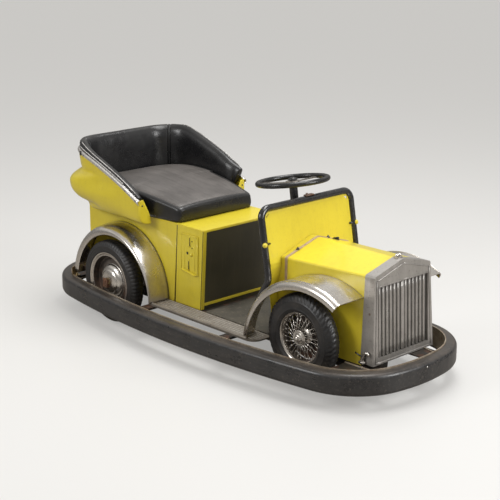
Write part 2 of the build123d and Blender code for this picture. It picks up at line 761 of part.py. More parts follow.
bore = AXLE_R + RUN_GAP
rim_back_y = (REAR_TYRE_IN + REAR_TYRE_OUT) / 2 - REAR_RIM_BACK
rear_rows = [(bore, REAR_HUB_BACK[0][1])] + list(REAR_HUB_BACK)
rear_rows += [(REAR_RIM_R - inside_r, out) for inside_r, out in REAR_RIM_SECTION]
rear_rows += list(REAR_HUB_FRONT) + [(bore, REAR_HUB_FRONT[-1][1])]
rear_wheel = spun([(r, -rim_back_y - out) for r, out in rear_rows], REAR_AXLE_X, REAR_TYRE_R)
rear_tyre = tyre(
    REAR_AXLE_X, REAR_TYRE_R, REAR_TYRE_R, REAR_RIM_R - TYRE_BEAD, REAR_TYRE_IN, REAR_TYRE_OUT
)
rear_tyre -= rear_wheel

front_tyre = tyre(
    FRONT_AXLE_X, FRONT_AXLE_Z, FRONT_TYRE_R, FRONT_RIM_R - TYRE_BEAD, FRONT_TYRE_IN, FRONT_TYRE_OUT
)
front_mid = (FRONT_TYRE_IN + FRONT_TYRE_OUT) / 2
front_rim = [(FRONT_RIM_R - inside_r, -front_mid - out) for inside_r, out in FRONT_RIM_SECTION]
front_wheel = spun(front_rim, FRONT_AXLE_X, FRONT_AXLE_Z)
hub_rows = [(bore, FRONT_HUB_SECTION[0][1])] + list(FRONT_HUB_SECTION) + [(bore, FRONT_HUB_SECTION[-1][1])]
front_wheel += spun([(r, -front_mid - out) for r, out in hub_rows], FRONT_AXLE_X, FRONT_AXLE_Z)
spoke_reach = FRONT_RIM_R - (TYRE_BEAD + FRONT_RIM_SECTION[0][0]) / 2
for number in range(SPOKES):
    around = 2 * math.pi * number / SPOKES
    outward = number % 2 == 1
    foot_y = -front_mid - SPOKE_FOOT_OUT if outward else -front_mid + SPOKE_FOOT_IN
    top_y = -front_mid + (2 if outward else -2)
    ends = []
    for r, y in ((SPOKE_FOOT_R, foot_y), (spoke_reach, top_y)):
        ends.append((FRONT_AXLE_X + r * math.cos(around), y, FRONT_AXLE_Z + r * math.sin(around)))
    front_wheel += rod(ends[0], ends[1], SPOKE_R)
front_tyre -= front_wheel

# Drive unit
drive_tyre = spun(
    [
        (DRIVE_RIM_R, -DRIVE_HALF),
        (DRIVE_R - 5, -DRIVE_HALF),
        (DRIVE_R, -DRIVE_HALF + 6),
        (DRIVE_R, DRIVE_HALF - 6),
        (DRIVE_R - 5, DRIVE_HALF),
        (DRIVE_RIM_R, DRIVE_HALF),
    ],
    DRIVE_X,
    DRIVE_R,
)
drive_hub = disc(DRIVE_X, DRIVE_R, DRIVE_RIM_R, -DRIVE_HALF + 4, DRIVE_HALF - 4)
drive_hub += disc(DRIVE_X, DRIVE_R, 20, -FORK_IN + 5, FORK_IN - 5)
drive_hub -= bored(DRIVE_X, DRIVE_R)
fork_plate = block(DRIVE_X - 22, DRIVE_X + 22, -FORK_OUT, -FORK_IN, DRIVE_R, CROWN_LOW)
fork_plate += disc(DRIVE_X, DRIVE_R, 22, -FORK_OUT, -FORK_IN)
drive_fork = block(DRIVE_X - 22, DRIVE_X + 22, -FORK_OUT, FORK_OUT, CROWN_LOW, CROWN_HIGH)
for one in both(fork_plate):
    drive_fork += one
drive_fork += disc(DRIVE_X, DRIVE_R, AXLE_R, -FORK_OUT, FORK_OUT)
shoulder_top = BRIDGE_LOW - SEAT_GAP
drive_fork += Pos(DRIVE_X, 0, (CROWN_HIGH + shoulder_top) / 2) * Cylinder(20, shoulder_top - CROWN_HIGH)
drive_fork += Pos(DRIVE_X, 0, (CROWN_HIGH + MOTOR_LOW) / 2) * Cylinder(KINGPIN_R, MOTOR_LOW - CROWN_HIGH)
drive_motor = Pos(DRIVE_X, 0, (MOTOR_LOW + MOTOR_HIGH) / 2) * Cylinder(MOTOR_R, MOTOR_HIGH - MOTOR_LOW)
bridge = block(DRIVE_X - 26, DRIVE_X + 26, -RAIL_OUT, RAIL_OUT, BRIDGE_LOW, BRIDGE_HIGH)
for one in both(block(DRIVE_X - 26, DRIVE_X + 26, -RAIL_OUT, -RAIL_OUT + 8, RAIL_HIGH, BRIDGE_LOW)):
    bridge += one
bridge += Pos(DRIVE_X, 0, (BRIDGE_HIGH + BEARING_HIGH) / 2) * Cylinder(BEARING_R, BEARING_HIGH - BRIDGE_HIGH)
bridge -= Pos(DRIVE_X, 0, BRIDGE_LOW) * Cylinder(KINGPIN_R + RUN_GAP, 200)
steering_bridge = bridge

# Steering
tilt = math.radians(COLUMN_TILT)
down = Vector(math.sin(tilt), 0, -math.cos(tilt))
wheel_at = Vector(WHEEL_X, 0, WHEEL_Z)
wheel_plane = Plane(origin=tuple(wheel_at), x_dir=(math.cos(tilt), 0, math.sin(tilt)), z_dir=tuple(-down))


def along(distance):
    return tuple(wheel_at + down * distance)


steering_rim = wheel_plane * Torus(STEER_R, STEER_TUBE_R)
spokes = wheel_plane * Pos(0, 0, 1 - STEER_HUB_T / 2) * Cylinder(STEER_HUB_R, STEER_HUB_T)
for angle in (90.0, 210.0, 330.0):
    arm = Pos(STEER_R / 2, 0, -4) * Box(STEER_R, STEER_ARM_W, STEER_ARM_T)
    spokes += wheel_plane * Rot(0, 0, angle) * arm
steering_spokes = spokes - steering_rim
steering_shaft = rod(along(STEER_HUB_T - 1), along(SHAFT_END), AXLE_R)
column = rod(along(COLUMN_TOP), along(COLUMN_END), COLUMN_R)
bracket_x = WHEEL_X + (WHEEL_Z - BRACKET_Z) * math.tan(tilt)
bracket_low = BRACKET_Z - BRACKET_HIGH / 2
bracket = block(bracket_x, 900, -BRACKET_HALF, BRACKET_HALF, bracket_low, bracket_low + BRACKET_HIGH)
bracket -= ahead_of(-PANEL_T)
steering_column = column + bracket
steering_column -= rod(along(0), along(SHAFT_END), AXLE_R + RUN_GAP)

# The parts, each with its own file
parts = {
    "bumper_ring": bumper_ring,
    "bumper_channel": bumper_channel,
    "chassis_rails": chassis_rails,
    "cross_members": cross_members,
    "floor_pan": floor_pan,
    "floor_mat": floor_mat,
    "running_boards": running_boards,
    "seat_box_sides": seat_box_sides,
    "seat_box_front": seat_box_front,
    "seat_deck": seat_deck,
    "tail_panel": tail_panel,
    "battery_box": battery_box,
    "coin_plate": coin_plate,
    "tub_shell": tub_shell,
    "tub_trim": tub_trim,
    "seat_back": seat_back,
    "seat_cushion": seat_cushion,
    "rear_fender_right": rear_fender,
    "rear_fender_left": mirror(rear_fender, about=Plane.XZ),
    "front_fender_right": front_fender,
    "front_fender_left": mirror(front_fender, about=Plane.XZ),
    "windscreen_frame": windscreen_frame,
    "windscreen_panel": windscreen_panel,
    "bonnet": bonnet,
    "bonnet_trim": bonnet_trim,
    "grille_shell": grille_shell,
    "grille_bars": grille_bars,
    "grille_ornament": grille_ornament,
    "front_hooks": front_hooks,
    "rear_axle": rear_axle,
    "front_axle": front_axle,
    "rear_tyre_right": rear_tyre,
    "rear_tyre_left": mirror(rear_tyre, about=Plane.XZ),
    "rear_wheel_right": rear_wheel,
    "rear_wheel_left": mirror(rear_wheel, about=Plane.XZ),
    "front_tyre_right": front_tyre,
    "front_tyre_left": mirror(front_tyre, about=Plane.XZ),
    "front_wheel_right": front_wheel,
    "front_wheel_left": mirror(front_wheel, about=Plane.XZ),
    "steering_bridge": steering_bridge,
    "drive_fork": drive_fork,
    "drive_motor": drive_motor,
    "drive_tyre": drive_tyre,
    "drive_hub": drive_hub,
    "steering_rim": steering_rim,
    "steering_spokes": steering_spokes,
    "steering_shaft": steering_shaft,
    "steering_column": steering_column,
}
os.makedirs("parts", exist_ok=True)
for name, shape in parts.items():
    export_step(shape, f"parts/{name}.step")
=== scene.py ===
import json
import math

import bmesh
import bpy
from mathutils import Matrix, Vector, noise


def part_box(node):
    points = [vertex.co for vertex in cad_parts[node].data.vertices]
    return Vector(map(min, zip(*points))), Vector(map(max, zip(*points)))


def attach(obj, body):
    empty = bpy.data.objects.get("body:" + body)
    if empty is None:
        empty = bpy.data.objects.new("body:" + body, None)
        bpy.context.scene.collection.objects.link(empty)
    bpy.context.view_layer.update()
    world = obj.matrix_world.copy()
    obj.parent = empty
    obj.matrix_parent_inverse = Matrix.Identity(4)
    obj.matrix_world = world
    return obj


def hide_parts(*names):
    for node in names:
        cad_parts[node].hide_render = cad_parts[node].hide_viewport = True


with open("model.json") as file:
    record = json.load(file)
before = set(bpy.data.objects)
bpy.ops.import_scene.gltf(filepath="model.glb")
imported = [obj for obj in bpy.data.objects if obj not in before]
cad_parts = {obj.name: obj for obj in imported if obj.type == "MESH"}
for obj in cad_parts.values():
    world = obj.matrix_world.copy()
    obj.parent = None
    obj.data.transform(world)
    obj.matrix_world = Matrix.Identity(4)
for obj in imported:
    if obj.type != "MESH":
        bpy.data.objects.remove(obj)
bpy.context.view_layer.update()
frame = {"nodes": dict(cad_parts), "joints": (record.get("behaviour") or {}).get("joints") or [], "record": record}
NODES = frame["nodes"]
SLOT_OF = {row["node"]: row["material_slot"] for row in frame["record"]["subparts"]}
SIDES = (("right", -1), ("left", 1))
MM = 0.001


# ---- material nodes
def link(tree, value, socket):
    """Joins a socket, or sets a number or a colour, on a node's input."""
    if isinstance(value, bpy.types.NodeSocket):
        tree.links.new(value, socket)
    elif isinstance(value, tuple):
        socket.default_value = (*value, 1)
    else:
        socket.default_value = value


def new_material(name):
    mat = bpy.data.materials.new(name)
    mat.use_nodes = True
    tree = mat.node_tree
    shader = next(n for n in tree.nodes if n.type == "BSDF_PRINCIPLED")
    return mat, tree, shader


def object_coords(tree, stretch=(1.0, 1.0, 1.0)):
    coords = tree.nodes.new("ShaderNodeTexCoord").outputs["Object"]
    scale = tree.nodes.new("ShaderNodeVectorMath")
    scale.operation = "MULTIPLY"
    scale.inputs[1].default_value = stretch
    tree.links.new(coords, scale.inputs[0])
    return scale.outputs[0]


def fed(tree, node, inputs):
    """Sets or links a node's inputs, and gives its outputs."""
    for socket, value in inputs.items():
        link(tree, value, node.inputs[socket])
    return node.outputs


def upward(tree, vector):
    """The Z part of a vector."""
    return fed(tree, tree.nodes.new("ShaderNodeSeparateXYZ"), {0: vector})[2]


def noise_of(tree, coords, scale, detail=4.0, rough=0.6):
    inputs = {"Vector": coords, "Scale": scale, "Detail": detail, "Roughness": rough}
    return fed(tree, tree.nodes.new("ShaderNodeTexNoise"), inputs)["Fac"]


def span(tree, value, low, high, out_low=0.0, out_high=1.0):
    inputs = {"Value": value, "From Min": low, "From Max": high, "To Min": out_low, "To Max": out_high}
    return fed(tree, tree.nodes.new("ShaderNodeMapRange"), inputs)["Result"]


def product(tree, a, b):
    node = tree.nodes.new("ShaderNodeMath")
    node.operation = "MULTIPLY"
    return fed(tree, node, {0: a, 1: b})[0]


def mix(tree, fac, a, b):
    node = tree.nodes.new("ShaderNodeMix")
    node.data_type = "RGBA"
    return fed(tree, node, {"Factor": fac, 6: a, 7: b})[2]


def mix_number(tree, fac, a, b):
    return fed(tree, tree.nodes.new("ShaderNodeMix"), {"Factor": fac, 2: a, 3: b})[0]


def bump(tree, height, strength, distance, below=None):
    inputs = {"Strength": strength, "Distance": distance, "Height": height}
    if below is not None:
        inputs["Normal"] = below
    return fed(tree, tree.nodes.new("ShaderNodeBump"), inputs)["Normal"]


# kind of wear: (stretch of its noise, detail, roughness, where the mask starts, where it is full)
CLOUDS = {
    "patches": ((1.0, 1.0, 1.0), 6.0, 0.68, 0.5, 0.66),
    "specks": ((1.0, 1.0, 1.0), 3.0, 0.6, 0.6, 0.7),
    "lengthwise": ((0.06, 1.0, 1.0), 5.0, 0.7, 0.5, 0.66),
    "runs": ((1.0, 1.0, 0.07), 5.0, 0.7, 0.52, 0.68),
    "up": ((0.35, 1.0, 1.0), 6.0, 0.7, 0.3, 0.62),
    "low": ((1.0, 1.0, 1.0), 6.0, 0.7, 0.3, 0.7),
}
LOW_SCALE, LOW_FADE = 9.0, 0.1
# samples of the ambient occlusion that paints shade into hollows
OCCLUSION_SHADE_SAMPLES = 6


def cloud(tree, kind, scale):
    stretch, detail, rough, start, full = CLOUDS[kind]
    return span(tree, noise_of(tree, object_coords(tree, stretch), scale, detail, rough), start, full)


def mask(tree, kind, parameter):
    """A 0 to 1 mask for one layer of wear, or for hollows found by ambient occlusion, where most finishes get
    painted shade and the tyre gets dust.

    The parameter is the noise's scale, or in metres the ambient occlusion's reach into the hollows, or the height
    that low wear ends at.
    """
    # ambient occlusion: the hollows' darkness goes into the colour as painted shade (as lighter dust on the tyre)
    if kind == "crevice":
        node = tree.nodes.new("ShaderNodeAmbientOcclusion")
        node.samples = OCCLUSION_SHADE_SAMPLES
        node.inputs["Distance"].default_value = parameter
        return span(tree, node.outputs["AO"], 0.75, 0.25)
    if kind == "up":
        normal = tree.nodes.new("ShaderNodeNewGeometry").outputs["Normal"]
        return product(tree, span(tree, upward(tree, normal), 0.55, 0.9), cloud(tree, kind, parameter))
    if kind == "low":
        height = span(tree, upward(tree, object_coords(tree)), parameter, parameter - LOW_FADE)
        return product(tree, height, cloud(tree, kind, LOW_SCALE))
    return cloud(tree, kind, parameter)


M = {}
WORN_METAL, LEAST_ROUGH, COAT_ROUGH = 0.35, 0.03, 0.1


def surface(slot, name, base, worn, rough, *layers, metal=0.0, patch=7.0, vary=0.08,
            grain=(160.0, 0.3, 0.0004), dents=None, coat=0.0):
    """Puts a material in M: two mixed base colours under layers of wear and of shade painted into hollows, with a
    roughness and a relief.

    layers: (mask, its parameter, colour, share, roughness).  grain and dents: (scale, strength, depth in m).
    """
    mat, tree, shader = new_material(name)
    coords = object_coords(tree)
    broad = noise_of(tree, coords, patch, 5.0, 0.65)
    colour = mix(tree, span(tree, broad, 0.36, 0.64), base, worn)
    rough_value = span(tree, broad, 0.3, 0.7, max(LEAST_ROUGH, rough - vary), min(1.0, rough + vary))
    metal_value = metal
    for kind, parameter, tint, share, tint_rough in layers:
        amount = product(tree, mask(tree, kind, parameter), share)
        colour = mix(tree, amount, colour, tint)
        rough_value = mix_number(tree, amount, rough_value, tint_rough)
        if metal:
            metal_value = mix_number(tree, amount, metal_value, metal * WORN_METAL)
    normal = bump(tree, noise_of(tree, coords, grain[0], 3.0, 0.6), grain[1], grain[2])
    if dents:
        normal = bump(tree, noise_of(tree, coords, dents[0], 2.0, 0.5), dents[1], dents[2], below=normal)
    look = {"Base Color": colour, "Roughness": rough_value, "Metallic": metal_value, "Normal": normal}
    fed(tree, shader, {**look, "Coat Weight": coat, "Coat Roughness": COAT_ROUGH})
    M[slot] = mat


# ---- materials
GRIME = (0.075, 0.055, 0.035)
DUST = (0.26, 0.215, 0.165)
RUST = (0.17, 0.065, 0.028)
# the layers masked by ambient occlusion paint shade into hollows and creases; on the tyre that layer is lighter
# dust in the grooves
surface(
    "rubber", "worn rubber", (0.018, 0.0175, 0.018), (0.032, 0.031, 0.031), 0.3,
    ("up", 10.0, (0.115, 0.09, 0.068), 0.6, 0.55), ("lengthwise", 150.0, (0.06, 0.054, 0.05), 0.55, 0.34),
    ("specks", 110.0, (0.2, 0.17, 0.14), 0.35, 0.7), ("low", 0.1, (0.07, 0.056, 0.043), 0.4, 0.6),
    patch=11, dents=(26, 0.25, 0.003),
)
surface(
    "tyre", "tyre rubber", (0.01, 0.01, 0.011), (0.022, 0.021, 0.021), 0.42,
    ("crevice", 0.006, (0.05, 0.043, 0.036), 0.6, 0.8), ("patches", 13.0, (0.06, 0.05, 0.042), 0.45, 0.7),
    ("specks", 170.0, (0.12, 0.1, 0.085), 0.35, 0.8), ("low", 0.16, (0.09, 0.072, 0.054), 0.6, 0.85),
    patch=16,
)
surface(
    "frame_steel", "frame paint", (0.016, 0.016, 0.016), (0.045, 0.034, 0.026), 0.5,
    ("patches", 18.0, RUST, 0.5, 0.8), ("specks", 120.0, GRIME, 0.5, 0.8),
    metal=0.2, patch=14,
)
surface(
    "channel_steel", "dull steel lip", (0.4, 0.34, 0.26), (0.24, 0.19, 0.135), 0.42,
    ("patches", 16.0, RUST, 0.45, 0.75), ("lengthwise", 90.0, (0.5, 0.44, 0.36), 0.5, 0.35),
    metal=0.5, patch=22,
)
surface(
    "aluminium", "dull aluminium", (0.6, 0.565, 0.51), (0.4, 0.36, 0.31), 0.34,
    ("up", 13.0, (0.25, 0.205, 0.155), 0.6, 0.55), ("lengthwise", 120.0, (0.62, 0.6, 0.56), 0.35, 0.24),
    ("crevice", 0.008, (0.06, 0.047, 0.034), 0.8, 0.8), ("specks", 130.0, (0.1, 0.075, 0.055), 0.45, 0.7),
    metal=0.8, patch=14, vary=0.1, dents=(38, 0.2, 0.002),
)
# in the yellow, the layer in hollows is painted shade in corners and creases
surface(
    "yellow_paint", "yellow paint", (0.765, 0.625, 0.042), (0.69, 0.55, 0.03), 0.34,
    ("crevice", 0.016, (0.3, 0.2, 0.01), 0.65, 0.55), ("low", 0.24, (0.36, 0.265, 0.05), 0.4, 0.55),
    ("runs", 46.0, (0.59, 0.45, 0.03), 0.25, 0.4), ("specks", 150.0, (0.37, 0.28, 0.06), 0.18, 0.5),
    patch=3.5, vary=0.06, coat=0.3, grain=(300.0, 0.06, 0.0001), dents=(9.0, 0.35, 0.004),
)
surface(
    "dark_panel", "dark panel paint", (0.038, 0.035, 0.022), (0.054, 0.049, 0.031), 0.46,
    ("low", 0.26, (0.09, 0.08, 0.052), 0.55, 0.6), ("runs", 60.0, (0.064, 0.058, 0.038), 0.5, 0.5),
    patch=5, grain=(240.0, 0.3, 0.0003),
)
surface(
    "mat_rubber", "floor mat", (0.042, 0.038, 0.029), (0.085, 0.075, 0.056), 0.75,
    ("specks", 90.0, DUST, 0.4, 0.9), ("patches", 12.0, (0.12, 0.105, 0.08), 0.5, 0.9),
    patch=9,
)
surface(
    "black_vinyl", "black vinyl", (0.01, 0.01, 0.0108), (0.0165, 0.0162, 0.0165), 0.28,
    ("up", 12.0, (0.045, 0.041, 0.037), 0.35, 0.42), ("patches", 15.0, (0.024, 0.023, 0.022), 0.4, 0.36),
    ("specks", 210.0, (0.075, 0.068, 0.06), 0.18, 0.5),
    patch=8, vary=0.06, grain=(420.0, 0.3, 0.0004), dents=(24.0, 0.35, 0.004),
)
surface(
    "seat_vinyl", "worn vinyl", (0.08, 0.072, 0.066), (0.112, 0.101, 0.093), 0.44,
    ("patches", 11.0, (0.14, 0.127, 0.117), 0.5, 0.4),
    ("lengthwise", 55.0, (0.048, 0.043, 0.039), 0.5, 0.5), ("specks", 150.0, (0.24, 0.21, 0.18), 0.22, 0.6),
    patch=9, vary=0.08, grain=(380.0, 0.4, 0.0006), dents=(15.0, 0.4, 0.004),
)
surface(
    "chrome", "old chrome", (0.74, 0.71, 0.665), (0.58, 0.54, 0.49), 0.25,
    ("patches", 9.0, (0.33, 0.285, 0.245), 0.34, 0.38),
    ("lengthwise", 60.0, (0.34, 0.29, 0.25), 0.24, 0.32), ("crevice", 0.01, (0.09, 0.06, 0.04), 0.8, 0.7),
    ("specks", 130.0, (0.15, 0.105, 0.075), 0.24, 0.5),
    metal=1.0, patch=7, vary=0.08, grain=(220.0, 0.08, 0.0001), dents=(11.0, 0.35, 0.004),
)
surface(
    "black_tube", "black enamel", (0.011, 0.011, 0.012), (0.02, 0.02, 0.021), 0.24,
    ("specks", 150.0, (0.06, 0.054, 0.048), 0.35, 0.6), ("patches", 20.0, (0.03, 0.028, 0.026), 0.5, 0.4),
    patch=14, coat=0.3,
)
surface(
    "cream_trim", "cream edge", (0.52, 0.385, 0.285), (0.4, 0.285, 0.215), 0.46,
    ("specks", 120.0, (0.14, 0.085, 0.055), 0.5, 0.7), ("runs", 70.0, (0.3, 0.2, 0.15), 0.5, 0.6),
    patch=24,
)
surface(
    "grille_metal", "grille metal", (0.45, 0.43, 0.405), (0.33, 0.312, 0.29), 0.36,
    ("runs", 70.0, (0.54, 0.515, 0.485), 0.35, 0.3), ("crevice", 0.006, (0.05, 0.043, 0.036), 0.7, 0.7),
    ("specks", 140.0, (0.1, 0.08, 0.062), 0.5, 0.6),
    metal=0.7, patch=10, vary=0.09, dents=(18.0, 0.3, 0.003),
)
surface(
    "black_plastic", "black moulding", (0.0095, 0.0095, 0.01), (0.018, 0.018, 0.018), 0.25,
    ("specks", 160.0, (0.055, 0.05, 0.045), 0.3, 0.6), ("patches", 22.0, (0.03, 0.028, 0.026), 0.5, 0.4),
    patch=16, vary=0.07, grain=(260.0, 0.25, 0.0004),
)
surface(
    "machined_steel", "machined steel", (0.34, 0.32, 0.295), (0.2, 0.165, 0.125), 0.35,
    ("patches", 24.0, RUST, 0.5, 0.75), ("crevice", 0.006, (0.05, 0.035, 0.025), 0.8, 0.8),
    metal=0.9, patch=22,
)
surface(
    "motor_paint", "motor paint", (0.045, 0.05, 0.05), (0.08, 0.08, 0.075), 0.45,
    ("specks", 100.0, GRIME, 0.5, 0.8), ("crevice", 0.01, (0.02, 0.017, 0.014), 0.8, 0.8),
    patch=12,
)
surface(
    "rusty_iron", "rusty iron", (0.215, 0.11, 0.062), (0.115, 0.052, 0.03), 0.62,
    ("patches", 34.0, (0.33, 0.24, 0.17), 0.6, 0.6), ("specks", 170.0, (0.05, 0.03, 0.02), 0.6, 0.8),
    metal=0.35, patch=26,
)
surface(
    "brass", "dull brass", (0.5, 0.39, 0.215), (0.32, 0.225, 0.11), 0.36,
    ("crevice", 0.005, (0.06, 0.035, 0.02), 0.8, 0.8), ("specks", 160.0, (0.12, 0.07, 0.04), 0.5, 0.7),
    metal=0.8, patch=34,
)
surface(
    "piping", "silver piping", (0.66, 0.64, 0.615), (0.46, 0.44, 0.42), 0.32,
    ("specks", 90.0, (0.07, 0.065, 0.06), 0.5, 0.6), ("patches", 30.0, (0.11, 0.105, 0.1), 0.6, 0.5),
    metal=0.35, patch=30,
)
surface(
    "edge_strip", "aluminium edge strip", (0.8, 0.785, 0.76), (0.6, 0.575, 0.545), 0.3,
    ("specks", 95.0, (0.26, 0.23, 0.21), 0.5, 0.5), ("patches", 34.0, (0.34, 0.31, 0.285), 0.5, 0.45),
    ("crevice", 0.004, (0.1, 0.085, 0.07), 0.7, 0.7),
    metal=0.75, patch=26, vary=0.1, dents=(60, 0.3, 0.002),
)
surface(
    "brown_fitting", "brown fitting", (0.135, 0.07, 0.042), (0.075, 0.04, 0.026), 0.42,
    ("specks", 160.0, (0.28, 0.2, 0.15), 0.4, 0.6),
    patch=30,
)
surface(
    "wheel_dish", "rusty wheel dish", (0.15, 0.13, 0.115), (0.06, 0.05, 0.043), 0.36,
    ("patches", 12.0, (0.215, 0.12, 0.075), 0.65, 0.55), ("specks", 120.0, (0.35, 0.26, 0.2), 0.35, 0.6),
    ("crevice", 0.01, (0.025, 0.018, 0.014), 0.8, 0.8),
    metal=0.75, patch=15,
)
surface(
    "old_rim", "pitted rim", (0.66, 0.62, 0.57), (0.42, 0.37, 0.32), 0.22,
    ("patches", 11.0, (0.2, 0.105, 0.065), 0.55, 0.55), ("specks", 150.0, (0.12, 0.065, 0.04), 0.5, 0.7),
    ("crevice", 0.008, (0.05, 0.03, 0.02), 0.8, 0.8),
    metal=0.95, patch=13,
)
surface(
    "groove", "dirt between the ribs", (0.27, 0.238, 0.2), (0.185, 0.16, 0.132), 0.48,
    ("lengthwise", 120.0, (0.3, 0.27, 0.23), 0.4, 0.4), ("specks", 130.0, (0.08, 0.06, 0.045), 0.45, 0.7),
    metal=0.55, patch=14, vary=0.1,
)
# the CAD nodes whose finish isn't simply their slot's
CAD_FINISH = {"running_boards": "groove"}
for name, node in NODES.items():
    node.data.materials.clear()
    node.data.materials.append(M[CAD_FINISH.get(name, SLOT_OF[name])])


# ---- mesh helpers
def piece(name, points, faces, finish, body="chassis", smooth=True, replaces=(), more=()):
    """A new mesh piece that rides on a body. Its slot is its first finish's; more are further finishes."""
    mesh = bpy.data.meshes.new(name)
    mesh.from_pydata([tuple(p) for p in points], [], faces)
    made = bmesh.new()
    made.from_mesh(mesh)
    bmesh.ops.recalc_face_normals(made, faces=made.faces)
    made.to_mesh(mesh)
    made.free()
    mesh.polygons.foreach_set("use_smooth", [smooth] * len(mesh.polygons))
    for each in (finish, *more):
        mesh.materials.append(M[each])
    obj = bpy.data.objects.new(name, mesh)
    bpy.context.collection.objects.link(obj)
    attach(obj, body)
    if replaces:
        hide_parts(*replaces)
    return obj


def thickened(obj, thickness):
    """Gives a sheet its thickness, inward from its face."""
    wall = obj.modifiers.new("wall", "SOLIDIFY")
    wall.thickness = thickness
    wall.offset = -1.0


def bevelled(obj, width=0.0005):
    edge = obj.modifiers.new("edges", "BEVEL")
    edge.width = width
    edge.segments = 2
    edge.limit_method = "ANGLE"


def grid_faces(rows, columns, close_rows=False, close_columns=False):
    """Quads between rows x columns of points, the columns running fastest."""
    faces = []
    for i in range(rows if close_rows else rows - 1):
        for j in range(columns if close_columns else columns - 1):
            a, b = i, (i + 1) % rows
            c, d = j, (j + 1) % columns
            faces.append(tuple(r * columns + s for r, s in ((a, c), (b, c), (b, d), (a, d))))
    return faces


def sheet(rows):
    """An open mesh from rows of points."""
    return [p for row in rows for p in row], grid_faces(len(rows), len(rows[0]))


def closed_sleeve(rows):
    """A solid from closed rings of points, with a face over its first ring and its last."""
    count = len(rows[0])
    points = [p for row in rows for p in row]
    faces = grid_faces(len(rows), count, close_columns=True)
    return points, faces + [tuple(range(count))[::-1], tuple(range(len(points) - count, len(points)))]


def joined(parts):
    """One (points, faces) pair from several."""
    points, faces = [], []
    for more_points, more_faces in parts:
        start = len(points)
        points += more_points
        faces += [tuple(start + corner for corner in face) for face in more_faces]
    return points, faces


def ring_frame(axis):
    """An axis and two directions square to it."""
    axis = Vector(axis).normalized()
    side = axis.cross(Vector((0, 0, 1)) if abs(axis.z) < 0.9 else Vector((1, 0, 0))).normalized()
    return axis, side, axis.cross(side)


def circle(centre, side, up, radius, count):
    turns = [2 * math.pi * k / count for k in range(count)]
    return [centre + side * radius * math.cos(t) + up * radius * math.sin(t) for t in turns]


def tube(path, radius, count=10):
    """A round tube along points, with closed ends. The radius is one number, or one for each point."""
    path = [Vector(p) for p in path]
    sizes = radius if isinstance(radius, (list, tuple)) else [radius] * len(path)
    rows = []
    side = None
    for i, (spot, size) in enumerate(zip(path, sizes)):
        ahead = (path[min(i + 1, len(path) - 1)] - path[max(i - 1, 0)]).normalized()
        if side is None:
            _, side, _ = ring_frame(ahead)
        side = (side - ahead * side.dot(ahead)).normalized()
        rows.append(circle(spot, side, ahead.cross(side), size, count))
    return closed_sleeve(rows)


def rod(a, b, radius, count=10):
    """A closed round bar from a to b."""
    return tube((a, b), radius, count)


def turned(profile, centre, count, cut=None):
    """A closed profile of (radius, y) turned about the Y axis through centre (x, z).

    cut gives the depth taken off the radius at a step round the turn and a row of the profile.
    """
    points = []
    for k in range(count):
        turn = 2 * math.pi * k / count
        for row, (r, y) in enumerate(profile):
            if cut:
                r -= cut(k, row)
            points.append(Vector((centre[0] + r * math.cos(turn), y, centre[1] + r * math.sin(turn))))
    return points, grid_faces(count, len(profile), close_rows=True, close_columns=True)


def rounded_block(centre, size, edge=0.0008):
    """A block with its edges cut back. Size is (x, y, z)."""
    made = bmesh.new()
    bmesh.ops.create_cube(made, size=1.0)
    bmesh.ops.scale(made, vec=size, verts=made.verts)
    bmesh.ops.translate(made, vec=centre, verts=made.verts)
    bmesh.ops.bevel(made, geom=made.edges[:], offset=edge, segments=2, affect="EDGES")
    made.verts.ensure_lookup_table()
    points = [v.co.copy() for v in made.verts]
    faces = [tuple(v.index for v in face.verts) for face in made.faces]
    made.free()
    return points, faces


def slab(corners, thickness):
    """A flat plate from its corner points, thickened by a vector."""
    near = [Vector(c) for c in corners]
    return closed_sleeve([near, [c + Vector(thickness) for c in near]])


def domed(centre, axis, radius, height, count=18, steps=5):
    """A domed stud on a flat face, with its foot sunk into the face."""
    centre = Vector(centre)
    axis, side, up = ring_frame(axis)
    rows = [circle(centre - axis * height * 0.4, side, up, radius, count)]
    for k in range(steps):
        t = math.pi / 2 * k / steps
        rows.append(circle(centre + axis * height * math.sin(t), side, up, radius * math.cos(t), count))
    points = [p for row in rows for p in row] + [centre + axis * height]
    last = (len(rows) - 1) * count
    faces = grid_faces(len(rows), count, close_columns=True) + [tuple(range(count))]
    return points, faces + [(last + k, last + (k + 1) % count, len(points) - 1) for k in range(count)]


def screw_head(centre, axis, radius=0.0026, height=0.0012):
    return domed(centre, axis, radius, height, 12, 3)


def lerp(a, b, t):
    return a + (b - a) * t


def smoothstep(low, high, value):
    t = min(1.0, max(0.0, (value - low) / (high - low)))
    return t * t * (3 - 2 * t)


def along(table, x):
    """A smooth reading of a table of (x, value) rows, x rising."""
    if x <= table[0][0]:
        return table[0][1]
    for i in range(len(table) - 1):
        (x0, v0), (x1, v1) = table[i], table[i + 1]
        if x <= x1:
            before = table[max(i - 1, 0)]
            after = table[min(i + 2, len(table) - 1)]
            size = x1 - x0
            slope0 = (v1 - before[1]) / (x1 - before[0])
            slope1 = (after[1] - v0) / (after[0] - x0)
            t = (x - x0) / size
            return (
                v0 * (2 * t**3 - 3 * t**2 + 1) + slope0 * size * (t**3 - 2 * t**2 + t)
                + v1 * (3 * t**2 - 2 * t**3) + slope1 * size * (t**3 - t**2)
            )
    return table[-1][1]


def on_skin(node, start, direction):
    """Where a straight line first meets a CAD node's surface, or None."""
    hit, spot, _, _ = NODES[node].ray_cast(Vector(start), Vector(direction))
    return spot if hit else None


def axis_of(node):
    """The (x, z) of a wheel's middle."""
    low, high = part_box(node)
    return (low[0] + high[0]) / 2, (low[2] + high[2]) / 2


def outward(node, sign, inset):
    """The y that is a distance in from a node's outer face."""
    low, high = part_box(node)
    return high[1] - inset if sign > 0 else low[1] + inset


